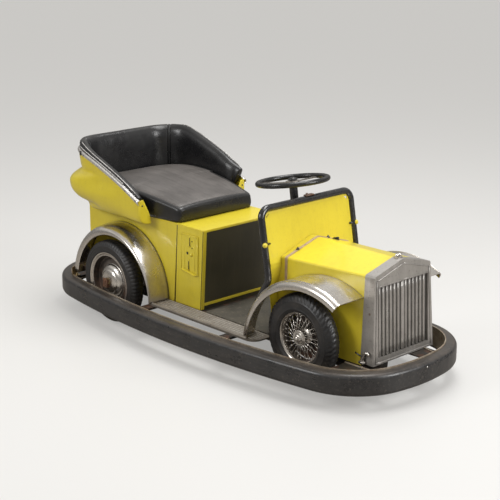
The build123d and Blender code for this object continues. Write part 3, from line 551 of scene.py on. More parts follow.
# ---- tub
TUB_LOW, TUB_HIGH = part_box("tub_shell")
BULGE = 0.019
TUB_HALF = TUB_HIGH[1] - BULGE
TUB_REAR = TUB_LOW[0] + BULGE
TUB_FRONT = TUB_HIGH[0]
TUB_FLOOR = TUB_LOW[2]
TUB_WALL = 0.004
CORNER_LOW, CORNER_TOP = 0.095, 0.13
CORNER_CHANGE = (0.5, 0.548)
TUB_EDGE = (
    # x, height of the tub's upper edge
    (-0.724, 0.6255), (-0.622, 0.625), (-0.55, 0.606), (-0.43, 0.563), (-0.355, 0.532), (-0.298, 0.504),
    (-0.268, 0.49), (-0.2, 0.455),
)
# (height, stand-out) down the tub's wall, at its rear, a third of the way forward and at its front end
WALL_REAR = (
    (0.4, -0.036), (0.411, -0.03), (0.42, -0.0275), (0.428, -0.02), (0.443, -0.001), (0.468, 0.014),
    (0.497, 0.019), (0.519, 0.016), (0.536, 0.006), (0.547, -0.004), (0.566, -0.002), (0.6, 0.001),
    (0.65, 0.003),
)
WALL_MIDDLE = (
    (0.4, -0.034), (0.406, -0.023), (0.414, -0.014), (0.424, -0.006), (0.438, 0.002), (0.456, 0.008),
    (0.476, 0.011), (0.496, 0.008), (0.512, 0.003), (0.526, 0.0), (0.545, 0.001), (0.57, 0.002),
    (0.62, 0.003),
)
WALL_FRONT = (
    (0.4, -0.028), (0.404, -0.018), (0.409, -0.01), (0.416, -0.005), (0.426, -0.001), (0.438, 0.001),
    (0.45, 0.002), (0.46, 0.002), (0.47, 0.002), (0.48, 0.002), (0.49, 0.003), (0.51, 0.003), (0.56, 0.003),
)
WALL_THIRD = 0.35
# (height, distance of the flap's inner edge from the middle plane)
FLAP_INNER = ((0.4, 0.204), (0.434, 0.211), (0.494, 0.24), (0.52, 0.25))
FLAP_BEND = 0.009
FLAP_X = TUB_FRONT - 0.0005
WALL_ROWS = 46
SIDE_STEPS, CORNER_STEPS, REAR_STEPS, BEND_STEPS, FLAP_STEPS = 44, 20, 24, 5, 4
STRIP = (
    # height over the edge and stand-out of the half-round strip along it
    (-0.017, 0.001), (-0.0165, 0.0032), (-0.014, 0.0052), (-0.01, 0.0066), (-0.0055, 0.0066),
    (-0.0018, 0.0052), (0.0006, 0.003), (0.001, 0.0), (0.0004, -0.005),
)
STRIP_GAP, STRIP_WALL = 0.0005, 0.0012


def tub_plan(region, t, out, corner, front=TUB_FRONT):
    """A point on the near half of the tub's plan, and its outward direction."""
    half, rear = TUB_HALF + out, TUB_REAR - out
    if region == "side":
        return lerp(front, rear + corner, t), -half, 0.0, -1.0
    if region == "corner":
        turn = math.pi / 2 * t
        x = rear + corner - corner * math.sin(turn)
        y = -half + corner - corner * math.cos(turn)
        return x, y, -math.sin(turn), -math.cos(turn)
    return rear, lerp(-half + corner, 0.0, t), -1.0, 0.0


def half_stations():
    """(region, t) along the near half's plan, from the front end of the side to the middle of the rear."""
    stations = [("side", k / SIDE_STEPS) for k in range(SIDE_STEPS)]
    stations += [("corner", k / CORNER_STEPS) for k in range(CORNER_STEPS)]
    return stations + [("rear", k / REAR_STEPS) for k in range(REAR_STEPS + 1)]


def wall_out(share, z):
    """The wall's stand-out at a height. The folds at the rear run out by a third of the way forward."""
    rear, middle, front = (along(rows, z) for rows in (WALL_REAR, WALL_MIDDLE, WALL_FRONT))
    if share < WALL_THIRD:
        return lerp(rear, middle, smoothstep(0.0, WALL_THIRD, share))
    return lerp(middle, front, smoothstep(WALL_THIRD, 1.0, share))


def wall_spot(region, t, level):
    """A point of the wall at a share of its height."""
    front = TUB_FRONT - FLAP_BEND
    x, _, _, _ = tub_plan(region, t, 0.0, CORNER_TOP, front)
    z = lerp(TUB_FLOOR, along(TUB_EDGE, x), level)
    out = wall_out(1.0 - t if region == "side" else 0.0, z)
    corner = lerp(CORNER_LOW, CORNER_TOP, smoothstep(*CORNER_CHANGE, z))
    x, y, _, _ = tub_plan(region, t, out, corner, front)
    return Vector((x, y, z))


def flap_row(z):
    """The front end of one row of the wall: across the flap from its inner edge, then round its bend."""
    bend_y = -(TUB_HALF + wall_out(1.0, z)) + FLAP_BEND
    inner_y = -along(FLAP_INNER, z)
    row = [Vector((FLAP_X, lerp(inner_y, bend_y, k / FLAP_STEPS), z)) for k in range(FLAP_STEPS)]
    for k in range(BEND_STEPS):
        turn = math.pi / 2 * k / BEND_STEPS
        x = FLAP_X - FLAP_BEND + FLAP_BEND * math.cos(turn)
        row.append(Vector((x, bend_y - FLAP_BEND * math.sin(turn), z)))
    return row


def both_halves(near):
    """A row that ends on the middle plane, carried round to the far side."""
    return near + [Vector((p.x, -p.y, p.z)) for p in reversed(near[:-1])]


def tub_skin():
    rows = []
    for row in range(WALL_ROWS + 1):
        level = row / WALL_ROWS
        near = flap_row(lerp(TUB_FLOOR, along(TUB_EDGE, TUB_FRONT), level))
        near += [wall_spot(region, t, level) for region, t in half_stations()]
        rows.append(both_halves(near))
    thickened(piece("tub_skin", *sheet(rows), "yellow_paint", replaces=("tub_shell",)), TUB_WALL)


def tub_edge_strip():
    rows = []
    for rise, stand in STRIP:
        near = []
        for region, t in half_stations():
            x, y, nx, ny = tub_plan(region, t, 0.0, CORNER_TOP)
            out = stand + STRIP_GAP
            near.append(Vector((x + nx * out, y + ny * out, along(TUB_EDGE, x) + rise)))
        rows.append(both_halves(near))
    thickened(piece("tub_edge_strip", *sheet(rows), "edge_strip", replaces=("tub_trim",)), STRIP_WALL)


tub_skin()
tub_edge_strip()


# ---- seat back
# (x, height of the roll over the tub's edge): the near arm is worn lower than the far one
PAD_OVER = {
    "right": ((-0.724, 0.031), (-0.64, 0.03), (-0.6, 0.024), (-0.54, 0.015), (-0.43, 0.012), (-0.268, 0.008)),
    "left": ((-0.724, 0.031), (-0.64, 0.033), (-0.56, 0.04), (-0.43, 0.042), (-0.32, 0.041), (-0.268, 0.04)),
}
# inward distance, with the share of the roll's height up its outside, or with the drop below its top
PAD_ROLL = ((0.006, -0.35), (0.0022, 0.05), (0.0008, 0.42), (0.003, 0.74), (0.009, 0.94), (0.017, 1.0))
PAD_FACE = ((0.026, -0.004), (0.034, -0.012), (0.0395, -0.026), (0.0425, -0.045), (0.044, -0.068))
PAD_FOOT_IN, PAD_FOOT_Z = 0.035, 0.422
PAD_FACE_STEPS, PAD_PUFF = 12, 0.0025
PAD_FRONT = TUB_FRONT - 0.006
PAD_RAKE, RAKE_REACH = 0.55, 0.12
ARM_THIN, ARM_REACH = 0.72, 0.2
PAD_SIDE_STEPS, PAD_CORNER_STEPS, PAD_REAR_STEPS = 56, 14, 26
SEAM_GAP, SEAM_WIDTH, SEAM_DEPTH = 0.0065, 0.0022, 0.0048
SEAM_STEPS, SEAM_STEP = 14, 0.0011
SEAM_ARC = CORNER_TOP * math.pi / 2
PUCKER_DEPTH, PUCKER_REACH = 0.0016, 0.022
WAVE_DEPTH, WRINKLE_DEPTH = 0.0022, 0.0009
ROLL_TOP_ROW = 4
ARM_END, ARM_END_SHARES = 0.004, (0.9, 0.6, 0.25)
# (name, share of the roll's height, inward distance, how far forward it runs) of an arm's two pipings
PIPINGS = (("low", 0.34, -0.0012, 0.72), ("top", 0.92, 0.0058, 0.93))
PIPING_R, PIPING_RAISE, PIPING_STEPS, PIPING_TURN = 0.0017, 0.0012, 60, 0.22


def pad_stations():
    """(region, t) round half of the pad, close together at the corner's seam."""
    spots = [k / PAD_CORNER_STEPS for k in range(PAD_CORNER_STEPS)]
    spots += [0.5 + step * SEAM_STEP / SEAM_ARC for step in range(-SEAM_STEPS, SEAM_STEPS + 1)]
    stations = [("side", k / PAD_SIDE_STEPS) for k in range(PAD_SIDE_STEPS)]
    stations += [("corner", t) for t in sorted(set(round(t, 5) for t in spots))]
    return stations + [("rear", k / PAD_REAR_STEPS) for k in range(PAD_REAR_STEPS + 1)]


def pad_rows(region, t, edge, over):
    """A section of the pad as (inward distance, height, rake), over the roll and down to the deck."""
    top = edge + over
    rows = [(w, edge + share * over) for w, share in PAD_ROLL]
    rows += [(w, top + drop) for w, drop in PAD_FACE]
    w_last, z_last = rows[-1]
    for k in range(1, PAD_FACE_STEPS + 1):
        s = k / PAD_FACE_STEPS
        puff = PAD_PUFF * math.sin(math.pi * min(1.0, s * 1.3))
        rows.append((lerp(w_last, PAD_FOOT_IN, s**1.5) + puff, lerp(z_last, PAD_FOOT_Z, s)))
    if region != "side":
        return [(w, z, 0.0) for w, z in rows]
    thin = lerp(ARM_THIN, 1.0, smoothstep(0.0, ARM_REACH, t))
    rake = PAD_RAKE * (1.0 - smoothstep(0.0, RAKE_REACH, t))
    return [(w * thin, z, rake * max(0.0, top - z)) for w, z in rows]


def pad_relief(x, y, z, off_seam):
    """Slow waves, wrinkles and the puckers beside a seam."""
    wave = noise.noise(Vector((x * 9, y * 9 + 3, z * 14))) * WAVE_DEPTH
    wrinkle = noise.noise(Vector((x * 30, y * 30, z * 60))) * WRINKLE_DEPTH
    pucker = PUCKER_DEPTH * math.exp(-off_seam / PUCKER_REACH) * math.sin(z * 420 + off_seam * 160)
    return wave + wrinkle + pucker * smoothstep(SEAM_GAP, SEAM_GAP + 0.004, off_seam)


def pad_half(side_name, sign):
    """The pad's sections on one side, from its arm's front end to the middle of the rear."""
    sections = []
    for region, t in pad_stations():
        x, y, nx, ny = tub_plan(region, t, 0.0, CORNER_TOP, PAD_FRONT)
        off_seam = abs(t - 0.5) * SEAM_ARC if region == "corner" else 1.0
        pinch = SEAM_DEPTH * math.exp(-(((off_seam - SEAM_GAP) / SEAM_WIDTH) ** 2))
        section = []
        rows = pad_rows(region, t, along(TUB_EDGE, x), along(PAD_OVER[side_name], x))
        for row, (w, z, rake) in enumerate(rows):
            inside = smoothstep(0.01, 0.03, w)
            crown = 1.0 if row >= ROLL_TOP_ROW else 0.25
            drop = pinch * crown * (1.0 - inside) * 0.8
            w += (pad_relief(x, y * sign, z, off_seam) - pinch) * inside
            section.append(Vector((x - nx * w - rake, -sign * (y - ny * w), z - drop)))
        sections.append(section)
    return sections


def arm_end(section):
    """A rounded closing of an arm: its end section, pulled in towards its middle in steps."""
    middle = sum(section, Vector()) / len(section)
    rings = []
    for share in ARM_END_SHARES:
        push = Vector((ARM_END * math.sin(share * math.pi / 2), 0, 0))
        shrink = lerp(0.35, 1.0, (1 - share) ** 0.5)
        rings.append([middle + (p - middle) * shrink + push for p in section])
    return rings


def seat_back_pad():
    near, far = pad_half("right", -1), pad_half("left", 1)
    middle = [(a + b) / 2 for a, b in zip(near[-1], far[-1])]
    sections = near[:-1] + [middle] + far[-2::-1]
    sections = arm_end(sections[0]) + sections + arm_end(sections[-1])[::-1]
    pad = piece("seat_back_pad", *closed_sleeve(sections), "black_vinyl", replaces=("seat_back",))


def arm_pipings():
    """Two silver pipings along the outer side of each arm."""
    for side_name, sign in SIDES:
        for label, share, inward, reach in PIPINGS:
            path = []
            for k in range(PIPING_STEPS):
                t = lerp(1.0 - reach, 1.0 + PIPING_TURN, k / (PIPING_STEPS - 1))
                region, local = ("side", t) if t <= 1.0 else ("corner", t - 1.0)
                x, y, nx, ny = tub_plan(region, local, 0.0, CORNER_TOP, PAD_FRONT)
                z = along(TUB_EDGE, x) + share * along(PAD_OVER[side_name], x) + PIPING_RAISE
                path.append(Vector((x - nx * inward, (y - ny * inward) * -sign, z)))
            piece("arm_piping_" + label + "_" + side_name, *tube(path, PIPING_R, 8), "piping")


seat_back_pad()
arm_pipings()


# ---- cushion
CUSHION_LOW, CUSHION_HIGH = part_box("seat_cushion")
CUSHION_FRONT, CUSHION_REAR, CUSHION_BASE = CUSHION_HIGH[0], CUSHION_LOW[0], CUSHION_LOW[2]
CUSHION_HALF_REAR, CUSHION_HALF_FRONT, CUSHION_WAIST = CUSHION_HIGH[1] - 0.003, 0.176, -0.4
CUSHION_CENTRE = Vector((-0.4, 0.0, 0.0))
CUSHION_LINE = (
    # x, height of the crown on the middle plane
    (-0.668, 0.5), (-0.58, 0.514), (-0.49, 0.521), (-0.39, 0.517), (-0.27, 0.502), (-0.141, 0.476),
)
CUSHION_OUTLINE = (
    # x, half width and corner radius round the near half, from the front to the rear
    (CUSHION_FRONT, CUSHION_HALF_FRONT, 0.02),
    (CUSHION_WAIST, CUSHION_HALF_REAR, 0.15),
    (CUSHION_REAR, CUSHION_HALF_REAR, 0.1),
)
CORNER_SPOTS, OUTLINE_SPOTS = 14, 130
# (distance in from the outline, share of the border's height), from the base up
SIDE_RINGS = ((0.006, 0.0), (0.0016, 0.07), (-0.0008, 0.22), (-0.0022, 0.42), (-0.0022, 0.62), (-0.0012, 0.8))
# (distance in from the outline, depth below the crown), over the edge, its seam and onto the top
TOP_RINGS = (
    (0.0, 0.0125), (0.0008, 0.0085), (0.003, 0.0048), (0.0065, 0.0022), (0.011, 0.0009), (0.0165, 0.0006),
    (0.019, 0.0016), (0.0205, 0.002), (0.022, 0.0016), (0.0245, 0.0002), (0.03, -0.001), (0.042, -0.0018),
)
# the top's rings, as shares of the way out from the cushion's centre
INNER_RINGS = (0.78, 0.66, 0.54, 0.42, 0.3, 0.19, 0.09, 0.03)
BORDER_DROP, BORDER_RINGS = 0.0125, 7
SIDE_FALL, TOP_RAISE, RUMPLE = 0.007, 0.002, 0.0022
SAG, SAG_X, SAG_SPREAD = 0.003, -0.36, 0.02


def rounded_corner(before, at, after, radius, count):
    """Points round the arc that fits in a corner."""
    a, b = (before - at).normalized(), (after - at).normalized()
    angle = math.acos(max(-1.0, min(1.0, a.dot(b))))
    back = radius / math.tan(angle / 2)
    centre = at + (a + b).normalized() * radius / math.sin(angle / 2)
    start, end = at + a * back - centre, at + b * back - centre
    sweep = start.angle(end)
    spots = []
    for k in range(count + 1):
        from_start, from_end = math.sin((1 - k / count) * sweep), math.sin(k / count * sweep)
        spots.append(centre + (start * from_start + end * from_end) / math.sin(sweep))
    return spots


def evenly(path, count):
    """A number of points at even distances along a path."""
    lengths = [0.0]
    for a, b in zip(path, path[1:]):
        lengths.append(lengths[-1] + (b - a).length)
    found = []
    for k in range(count):
        want = lengths[-1] * k / (count - 1)
        i = max(n for n in range(len(path) - 1) if lengths[n] <= want + 1e-12)
        gap = lengths[i + 1] - lengths[i]
        found.append(path[i].lerp(path[i + 1], (want - lengths[i]) / gap if gap else 0.0))
    return found


def cushion_outline():
    corners = [Vector((x, -half, 0)) for x, half, _ in CUSHION_OUTLINE]
    corners = [Vector((CUSHION_FRONT, 0, 0)), *corners, Vector((CUSHION_REAR, 0, 0))]
    near = [corners[0]]
    for before, at, after, (_, _, radius) in zip(corners, corners[1:], corners[2:], CUSHION_OUTLINE):
        near += rounded_corner(before, at, after, radius, CORNER_SPOTS)
    near = evenly(near + [corners[-1]], OUTLINE_SPOTS)
    return near + [Vector((p.x, -p.y, 0)) for p in reversed(near[1:-1])]


def crown_height(spot):
    half = CUSHION_HALF_REAR if spot.x < CUSHION_WAIST else CUSHION_HALF_FRONT
    return along(CUSHION_LINE, spot.x) - SIDE_FALL * (abs(spot.y) / half) ** 3


def inset_spot(p, inset):
    return p + (CUSHION_CENTRE - p).normalized() * inset


def side_spot(p, inset, share):
    q = inset_spot(p, inset)
    q.z = lerp(CUSHION_BASE, crown_height(p) - BORDER_DROP, share)
    return q


def edge_spot(p, inset, below):
    q = inset_spot(p, inset)
    q.z = crown_height(q) - below
    return q


def top_spot(p, share):
    q = CUSHION_CENTRE + (p - CUSHION_CENTRE) * share
    rumple = noise.noise(Vector((q.x * 11, q.y * 11, 1.0))) * RUMPLE * (1 - share)
    sag = SAG * math.exp(-((q.x - SAG_X) ** 2 + q.y**2) / SAG_SPREAD)
    q.z = crown_height(q) + TOP_RAISE + rumple - sag
    return q


def seat_cushion_pad():
    """A crowned, worn top that drops to a black boxed border."""
    outline = cushion_outline()
    rings = [[side_spot(p, *ring) for p in outline] for ring in SIDE_RINGS]
    rings += [[edge_spot(p, *ring) for p in outline] for ring in TOP_RINGS]
    rings += [[top_spot(p, share) for p in outline] for share in INNER_RINGS]
    cushion = piece(
        "seat_cushion_pad", *closed_sleeve(rings), "seat_vinyl",
        replaces=("seat_cushion",), more=("black_vinyl",),
    )
    border_top = (len(SIDE_RINGS) + BORDER_RINGS) * len(outline)
    for face in cushion.data.polygons:
        face.material_index = 1 if min(face.vertices) < border_top else 0


seat_cushion_pad()


# ---- wheels and tyres
# (radius, distance out from the rim's inner edge), in millimetres
REAR_BACK = (
    (8, 2), (28, 2), (30, 20), (83, 16), (97, 4), (102, 0), (113, 0), (114, 1.5), (113, 3.5), (106, 6),
)
REAR_LIP = (
    (106, 43), (110, 44.4), (113, 45.8), (114.3, 47.8), (113.9, 49.8), (112, 51), (109.3, 50.9),
    (106.5, 49.2), (104.6, 47.0), (103, 46.0), (101.6, 46.4), (100.2, 47.2), (98.8, 46.9), (97.9, 45.2),
)
REAR_DISH = (
    (97.3, 40), (96.4, 32), (95.4, 25), (93.6, 21.6), (90.6, 20.4), (87.0, 21.0), (82.5, 23.6), (78, 25.4),
    (73, 26.1), (69, 26.3), (66.4, 26.6),
)
REAR_CAP = (
    (64.6, 27.4), (63.9, 30.0), (62.2, 33.4), (59.4, 36.7), (55.4, 39.6), (50.6, 41.9), (46.2, 43.4),
    (45.0, 44.0), (44.0, 45.2), (41.6, 46.8), (37.6, 48.4), (32.0, 49.9), (26.0, 51.1), (20.0, 52.0),
    (14.0, 52.7), (8.0, 53.0),
)
REAR_RIM_DEPTH, REAR_BEAD_R = 0.053, 0.106
# (radius, distances out from the cap's face at its two ends, sides) of the lock ring and the nut
HUB_NUTS = ((0.017, 0.0, 0.004, 24), (0.0135, 0.003, 0.01, 6))
# (x, distance out from the face, z, size, edge) of the bent lug's plates, from the hub's middle
LUG_PLATES = (
    (-0.001, 0.0115, 0.0, (0.024, 0.003, 0.036), 0.001),
    (-0.013, 0.006, -0.002, (0.003, 0.014, 0.03), 0.0008),
    (0.011, 0.006, -0.002, (0.003, 0.014, 0.03), 0.0008),
)
# (z, length, radius) of the lug's two pins
LUG_PINS = ((0.004, 0.0155, 0.0052), (-0.011, 0.015, 0.0035))
# (share of the way from bead to tread, share of the half width) over a tyre's section: side wall, then tread
TYRE_SIDE = (
    (0.0, 0.7), (0.03, 0.82), (0.1, 0.92), (0.17, 0.965), (0.185, 1.0), (0.215, 1.0), (0.23, 0.975),
    (0.34, 0.995), (0.46, 1.0), (0.56, 0.985), (0.575, 1.0), (0.6, 0.995), (0.612, 0.965), (0.69, 0.925),
)
TYRE_TREAD = (
    (0.745, 0.885), (0.82, 0.815), (0.895, 0.715), (0.955, 0.585), (0.962, 0.54), (0.985, 0.42),
    (1.0, 0.25), (1.0, 0.06),
)
BLOCK_STEPS, CUT_STEPS = 6, 2
# (distance inside the rim's radius, distance out from the middle), in millimetres
RIM_SIDE = (
    (14.0, -14.5), (12.0, -18.0), (8.5, -20.6), (4.2, -22.4), (1.4, -22.2), (0.2, -20.6), (1.2, -18.4),
    (6.6, -13.6), (8.4, -11.4),
)
RIM_WELL = ((15.4, 8.0), (15.8, 0.0), (15.4, -8.0))
FRONT_RIM = RIM_SIDE + tuple((inside, -out) for inside, out in reversed(RIM_SIDE)) + RIM_WELL
FRONT_HUB = (
    (7, -22), (23, -22), (25.5, -20.5), (26, -14), (22, -12), (15, -9), (13, -4), (12.4, 2), (13.4, 8),
    (16.5, 12.4), (24.0, 14.8), (26.6, 16.4), (27.0, 19.0), (26.0, 20.8), (23.6, 21.6), (21.6, 20.8),
    (19.4, 20.4), (17.4, 21.2), (16.2, 23.0), (15.0, 26.0), (13.4, 28.2), (11.0, 29.6), (7, 30),
)
FRONT_MIDDLE_DEPTH, FRONT_BEAD_IN = 0.03, 0.008
SPOKE_PAIRS, PAIR_GAP, PAIR_SPLAY, SPOKE_LEAN = 11, 0.105, 0.07, 0.2
# (lean, distance out at the hub, distance out at the rim) of the outer and the inner layer of spokes
SPOKE_LAYERS = ((SPOKE_LEAN, 0.02, 0.006), (-SPOKE_LEAN, -0.015, -0.004))
HUB_FLANGE_R, SPOKE_R, SPOKE_HEAD_IN = 0.0235, 0.00125, 0.0155
NIPPLE_R, NIPPLE_SHARE = SPOKE_R * 1.6, 0.16
# a dark disc behind the spokes: painted shade standing in for the shaded side of the bonnet seen through the wheel
SHADE_DISC_R, SHADE_DISC_IN, SHADE_DISC_BACK, SHADE_DISC_T = 0.016, 0.0165, 0.017, 0.002


def tyre(node, centre, body, bead, blocks, slant, depth):
    """A tyre with rings on its side walls and a tread cut into blocks. The cuts lean by slant steps a row."""
    low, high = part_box(node)
    outer, middle, half = (high[2] - low[2]) / 2, (low[1] + high[1]) / 2, (high[1] - low[1]) / 2
    rows = [(lerp(bead, outer, rise), half * share) for rise, share in TYRE_SIDE + TYRE_TREAD]
    section = [(r, middle - out) for r, out in rows] + [(r, middle + out) for r, out in reversed(rows)]
    centre_row = (len(section) - 1) / 2

    def cut(k, row):
        off = abs(row - centre_row)
        in_tread = 1.0 < off < len(TYRE_TREAD)
        return depth if in_tread and (k + round(off * slant)) % BLOCK_STEPS < CUT_STEPS else 0.0

    made = turned(section, centre, blocks * BLOCK_STEPS, cut)
    piece(node + "_treaded", *made, "tyre", body, replaces=(node,))


def rear_wheel(side_name, sign):
    """A deep dish with two bright lips, a stepped cap, and a nut and a bent lug over it."""
    node, body = "rear_wheel_" + side_name, "rear_" + side_name + "_wheel"
    x, z = centre = axis_of(node)
    base_y, face_y = outward(node, sign, REAR_RIM_DEPTH), outward(node, sign, 0.0)
    profile = REAR_BACK + REAR_LIP + REAR_DISH + REAR_CAP
    rim = turned([(r * MM, base_y + sign * out * MM) for r, out in profile], centre, 128)
    wheel = piece(node + "_turned", *rim, "chrome", body, replaces=(node,), more=("wheel_dish", "old_rim"))
    lip_from = len(REAR_BACK)
    dish_from = lip_from + len(REAR_LIP) - 1
    for face in wheel.data.polygons:
        row = min(v % len(profile) for v in face.vertices)
        if lip_from <= row < dish_from:
            face.material_index = 2
        elif dish_from <= row < dish_from + len(REAR_DISH):
            face.material_index = 1
    tyre("rear_tyre_" + side_name, centre, body, REAR_BEAD_R, 66, 0.0, 0.0022)
    nuts = [
        rod((x, face_y + sign * start, z), (x, face_y + sign * end, z), radius, count)
        for radius, start, end, count in HUB_NUTS
    ]
    piece("rear_hub_nut_" + side_name, *joined(nuts), "brass", body, smooth=False)
    lug = [
        rounded_block((x + along_x, face_y + sign * out, z + up), size, edge)
        for along_x, out, up, size, edge in LUG_PLATES
    ]
    for up, length, radius in LUG_PINS:
        lug.append(rod((x, face_y, z + up), (x, face_y + sign * length, z + up), radius, 12))
    piece("rear_hub_lug_" + side_name, *joined(lug), "rusty_iron", body, smooth=False)


def spokes(centre, rim_r, spot_y):
    """Two layers of nearly radial pairs, each with its nipple. spot_y gives the y at a distance out."""
    def at(radius, turn, out):
        return Vector((centre[0] + radius * math.cos(turn), spot_y(out), centre[1] + radius * math.sin(turn)))

    bars, nipples = [], []
    for layer, (lean, foot_out, head_out) in enumerate(SPOKE_LAYERS):
        for pair in range(SPOKE_PAIRS):
            for gap in (-1, 1):
                turn = 2 * math.pi * (pair + 0.5 * layer) / SPOKE_PAIRS + gap * PAIR_GAP
                foot = at(HUB_FLANGE_R, turn + lean + gap * PAIR_SPLAY, foot_out)
                head = at(rim_r - SPOKE_HEAD_IN, turn, head_out)
                bars.append(rod(foot, head, SPOKE_R, 8))
                nipples.append(rod(head.lerp(foot, NIPPLE_SHARE), head, NIPPLE_R, 8))
    return joined(bars + nipples)


def front_wheel(side_name, sign):
    """A wire wheel: rim, hub, spokes, a dark disc behind them as painted shade for the shaded bonnet side seen
    through them, and a small cap.
    """
    node, body = "front_wheel_" + side_name, "front_" + side_name + "_wheel"
    centre = axis_of(node)
    low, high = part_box(node)
    rim_r = (high[2] - low[2]) / 2
    middle_y = outward(node, sign, FRONT_MIDDLE_DEPTH)

    def spot_y(out):
        return middle_y + sign * out

    rim = turned([(rim_r - inside * MM, spot_y(out * MM)) for inside, out in FRONT_RIM], centre, 128)
    piece("front_rim_" + side_name, *rim, "old_rim", body, replaces=(node,))
    hub = turned([(r * MM, spot_y(out * MM)) for r, out in FRONT_HUB], centre, 40)
    piece("front_hub_" + side_name, *hub, "chrome", body)
    piece("front_spokes_" + side_name, *spokes(centre, rim_r, spot_y), "chrome", body)
    # the dark disc behind the spokes is painted shade, not a real plate
    near, far = spot_y(-SHADE_DISC_BACK), spot_y(-SHADE_DISC_BACK - SHADE_DISC_T)
    plate = [(SHADE_DISC_R, near), (rim_r - SHADE_DISC_IN, near), (rim_r - SHADE_DISC_IN, far), (SHADE_DISC_R, far)]
    piece("front_dust_plate_" + side_name, *turned(plate, centre, 64), "frame_steel", body, smooth=False)
    cap = domed((centre[0], outward(node, sign, 0.0), centre[1]), (0, sign, 0), 0.0095, 0.006)
    piece("front_hub_cap_" + side_name, *cap, "chrome", body)
    tyre("front_tyre_" + side_name, centre, body, rim_r - FRONT_BEAD_IN, 54, 0.9, 0.0026)


for make_wheel in (rear_wheel, front_wheel):
    for side in SIDES:
        make_wheel(*side)


# ---- running boards and seat box
BOARD_LOW, BOARD_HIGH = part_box("running_boards")
BOARD_CORNER, BOARD_PROBE = 0.038, (-0.08, BOARD_HIGH[1] - 0.04, 0.3)
RIB_COUNT, RIB_PITCH, RIB_R, RIB_END, RIB_IN, RIB_STEPS = 6, 0.0118, 0.0032, 0.01, 0.0165, 12
BOX_LOW, BOX_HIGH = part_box("seat_box_sides")
FRONT_LOW, FRONT_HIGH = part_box("seat_box_front")
_, DECK_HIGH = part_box("seat_deck")
BOX_TOP_Z, BOX_LOW_Z = BOX_HIGH[2] - 0.001, BOX_LOW[2] + 0.003
FRONT_FACE_IN = 0.004
SEAM_TOP_X, SEAM_FOOT_X, PANEL_T, PANEL_BACK = -0.145, -0.162, 0.0012, 0.002
FLANGE_WIDTH, FLANGE_T, FLANGE_OFF = 0.015, 0.0014, 0.0002
SEAM_OUT, GAP_BACK, GAP_R, BEAD_BACK, BEAD_R = 0.0004, 0.0022, 0.0013, 0.0064, 0.0019
KICK_LOW, KICK_HEIGHT, KICK_T, KICK_OFF = 0.137, 0.01, 0.003, 0.0014


def board_ribs(side_name, sign):
    """Lengthwise ribs, shorter towards the board's rounded outer corners."""
    face_z = on_skin("running_boards", BOARD_PROBE, (0, 0, -1)).z
    ribs = []
    for n in range(RIB_COUNT):
        y = BOARD_HIGH[1] - RIB_IN - n * RIB_PITCH
        reach = max(0.0, y - (BOARD_HIGH[1] - BOARD_CORNER))
        cut = BOARD_CORNER - math.sqrt(BOARD_CORNER**2 - reach**2) + RIB_END
        path, sizes = [], []
        for k in range(RIB_STEPS + 1):
            path.append((lerp(BOARD_LOW[0] + cut, BOARD_HIGH[0] - cut, k / RIB_STEPS), sign * y, face_z))
            sizes.append(RIB_R * math.sin(math.pi / 2 * min(1.0, 0.25 + min(k, RIB_STEPS - k))))
        ribs.append(tube(path, sizes, 8))
    piece("board_ribs_" + side_name, *joined(ribs), "aluminium")


def front_x(z, out=0.0):
    """The leaning front panel's face at a height."""
    share = (z - FRONT_LOW[2]) / (FRONT_HIGH[2] - FRONT_LOW[2])
    return lerp(FRONT_LOW[0] + FRONT_FACE_IN, FRONT_HIGH[0], share) + out


def box_side(side_name, sign):
    """The side's front panel, the flange that it turns in beside the dark front, and the seam behind."""
    face_y = sign * BOX_HIGH[1]
    inner_y = face_y - sign * FLANGE_WIDTH
    panel = [
        (SEAM_FOOT_X, face_y, BOX_LOW_Z), (front_x(BOX_LOW_Z, -PANEL_BACK), face_y, BOX_LOW_Z),
        (front_x(BOX_TOP_Z, -PANEL_BACK), face_y, BOX_TOP_Z), (SEAM_TOP_X, face_y, BOX_TOP_Z),
    ]
    made = slab(panel, (0, sign * PANEL_T, 0))
    bevelled(piece("box_panel_" + side_name, *made, "yellow_paint", smooth=False))
    low_x, top_x = front_x(BOX_LOW_Z, FLANGE_OFF), front_x(BOX_TOP_Z, FLANGE_OFF)
    flange = [
        (low_x, face_y, BOX_LOW_Z), (top_x, face_y, BOX_TOP_Z),
        (top_x, inner_y, BOX_TOP_Z), (low_x, inner_y, BOX_LOW_Z),
    ]
    made = slab(flange, (FLANGE_T, 0, 0))
    bevelled(piece("box_flange_" + side_name, *made, "yellow_paint", smooth=False))
    seam_y = face_y + sign * SEAM_OUT
    seams = (("gap", GAP_BACK, GAP_R, "dark_panel"), ("bead", BEAD_BACK, BEAD_R, "yellow_paint"))
    for label, back, radius, finish in seams:
        ends = (SEAM_FOOT_X - back, seam_y, BOX_LOW_Z), (SEAM_TOP_X - back, seam_y, BOX_TOP_Z)
        piece("box_seam_" + label + "_" + side_name, *rod(*ends, radius, 8), finish)


def box_edges():
    """The kick strip under the dark front, and the deck's lip."""
    middle = (front_x(KICK_LOW, KICK_OFF), FLANGE_WIDTH / 2, KICK_LOW + KICK_HEIGHT / 2)
    kick = rounded_block(middle, (KICK_T, 2 * BOX_HIGH[1] - FLANGE_WIDTH, KICK_HEIGHT))
    piece("box_kick_strip", *kick, "yellow_paint", smooth=False)
    middle = (DECK_HIGH[0] + 0.0005, 0, DECK_HIGH[2] - 0.004)
    lip = rounded_block(middle, (0.003, 2 * DECK_HIGH[1], 0.008), 0.0012)
    piece("deck_lip", *lip, "yellow_paint", smooth=False)


for make in (board_ribs, box_side):
    for side in SIDES:
        make(*side)
box_edges()


# ---- coin plate
PLATE_LOW, PLATE_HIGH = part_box("coin_plate")
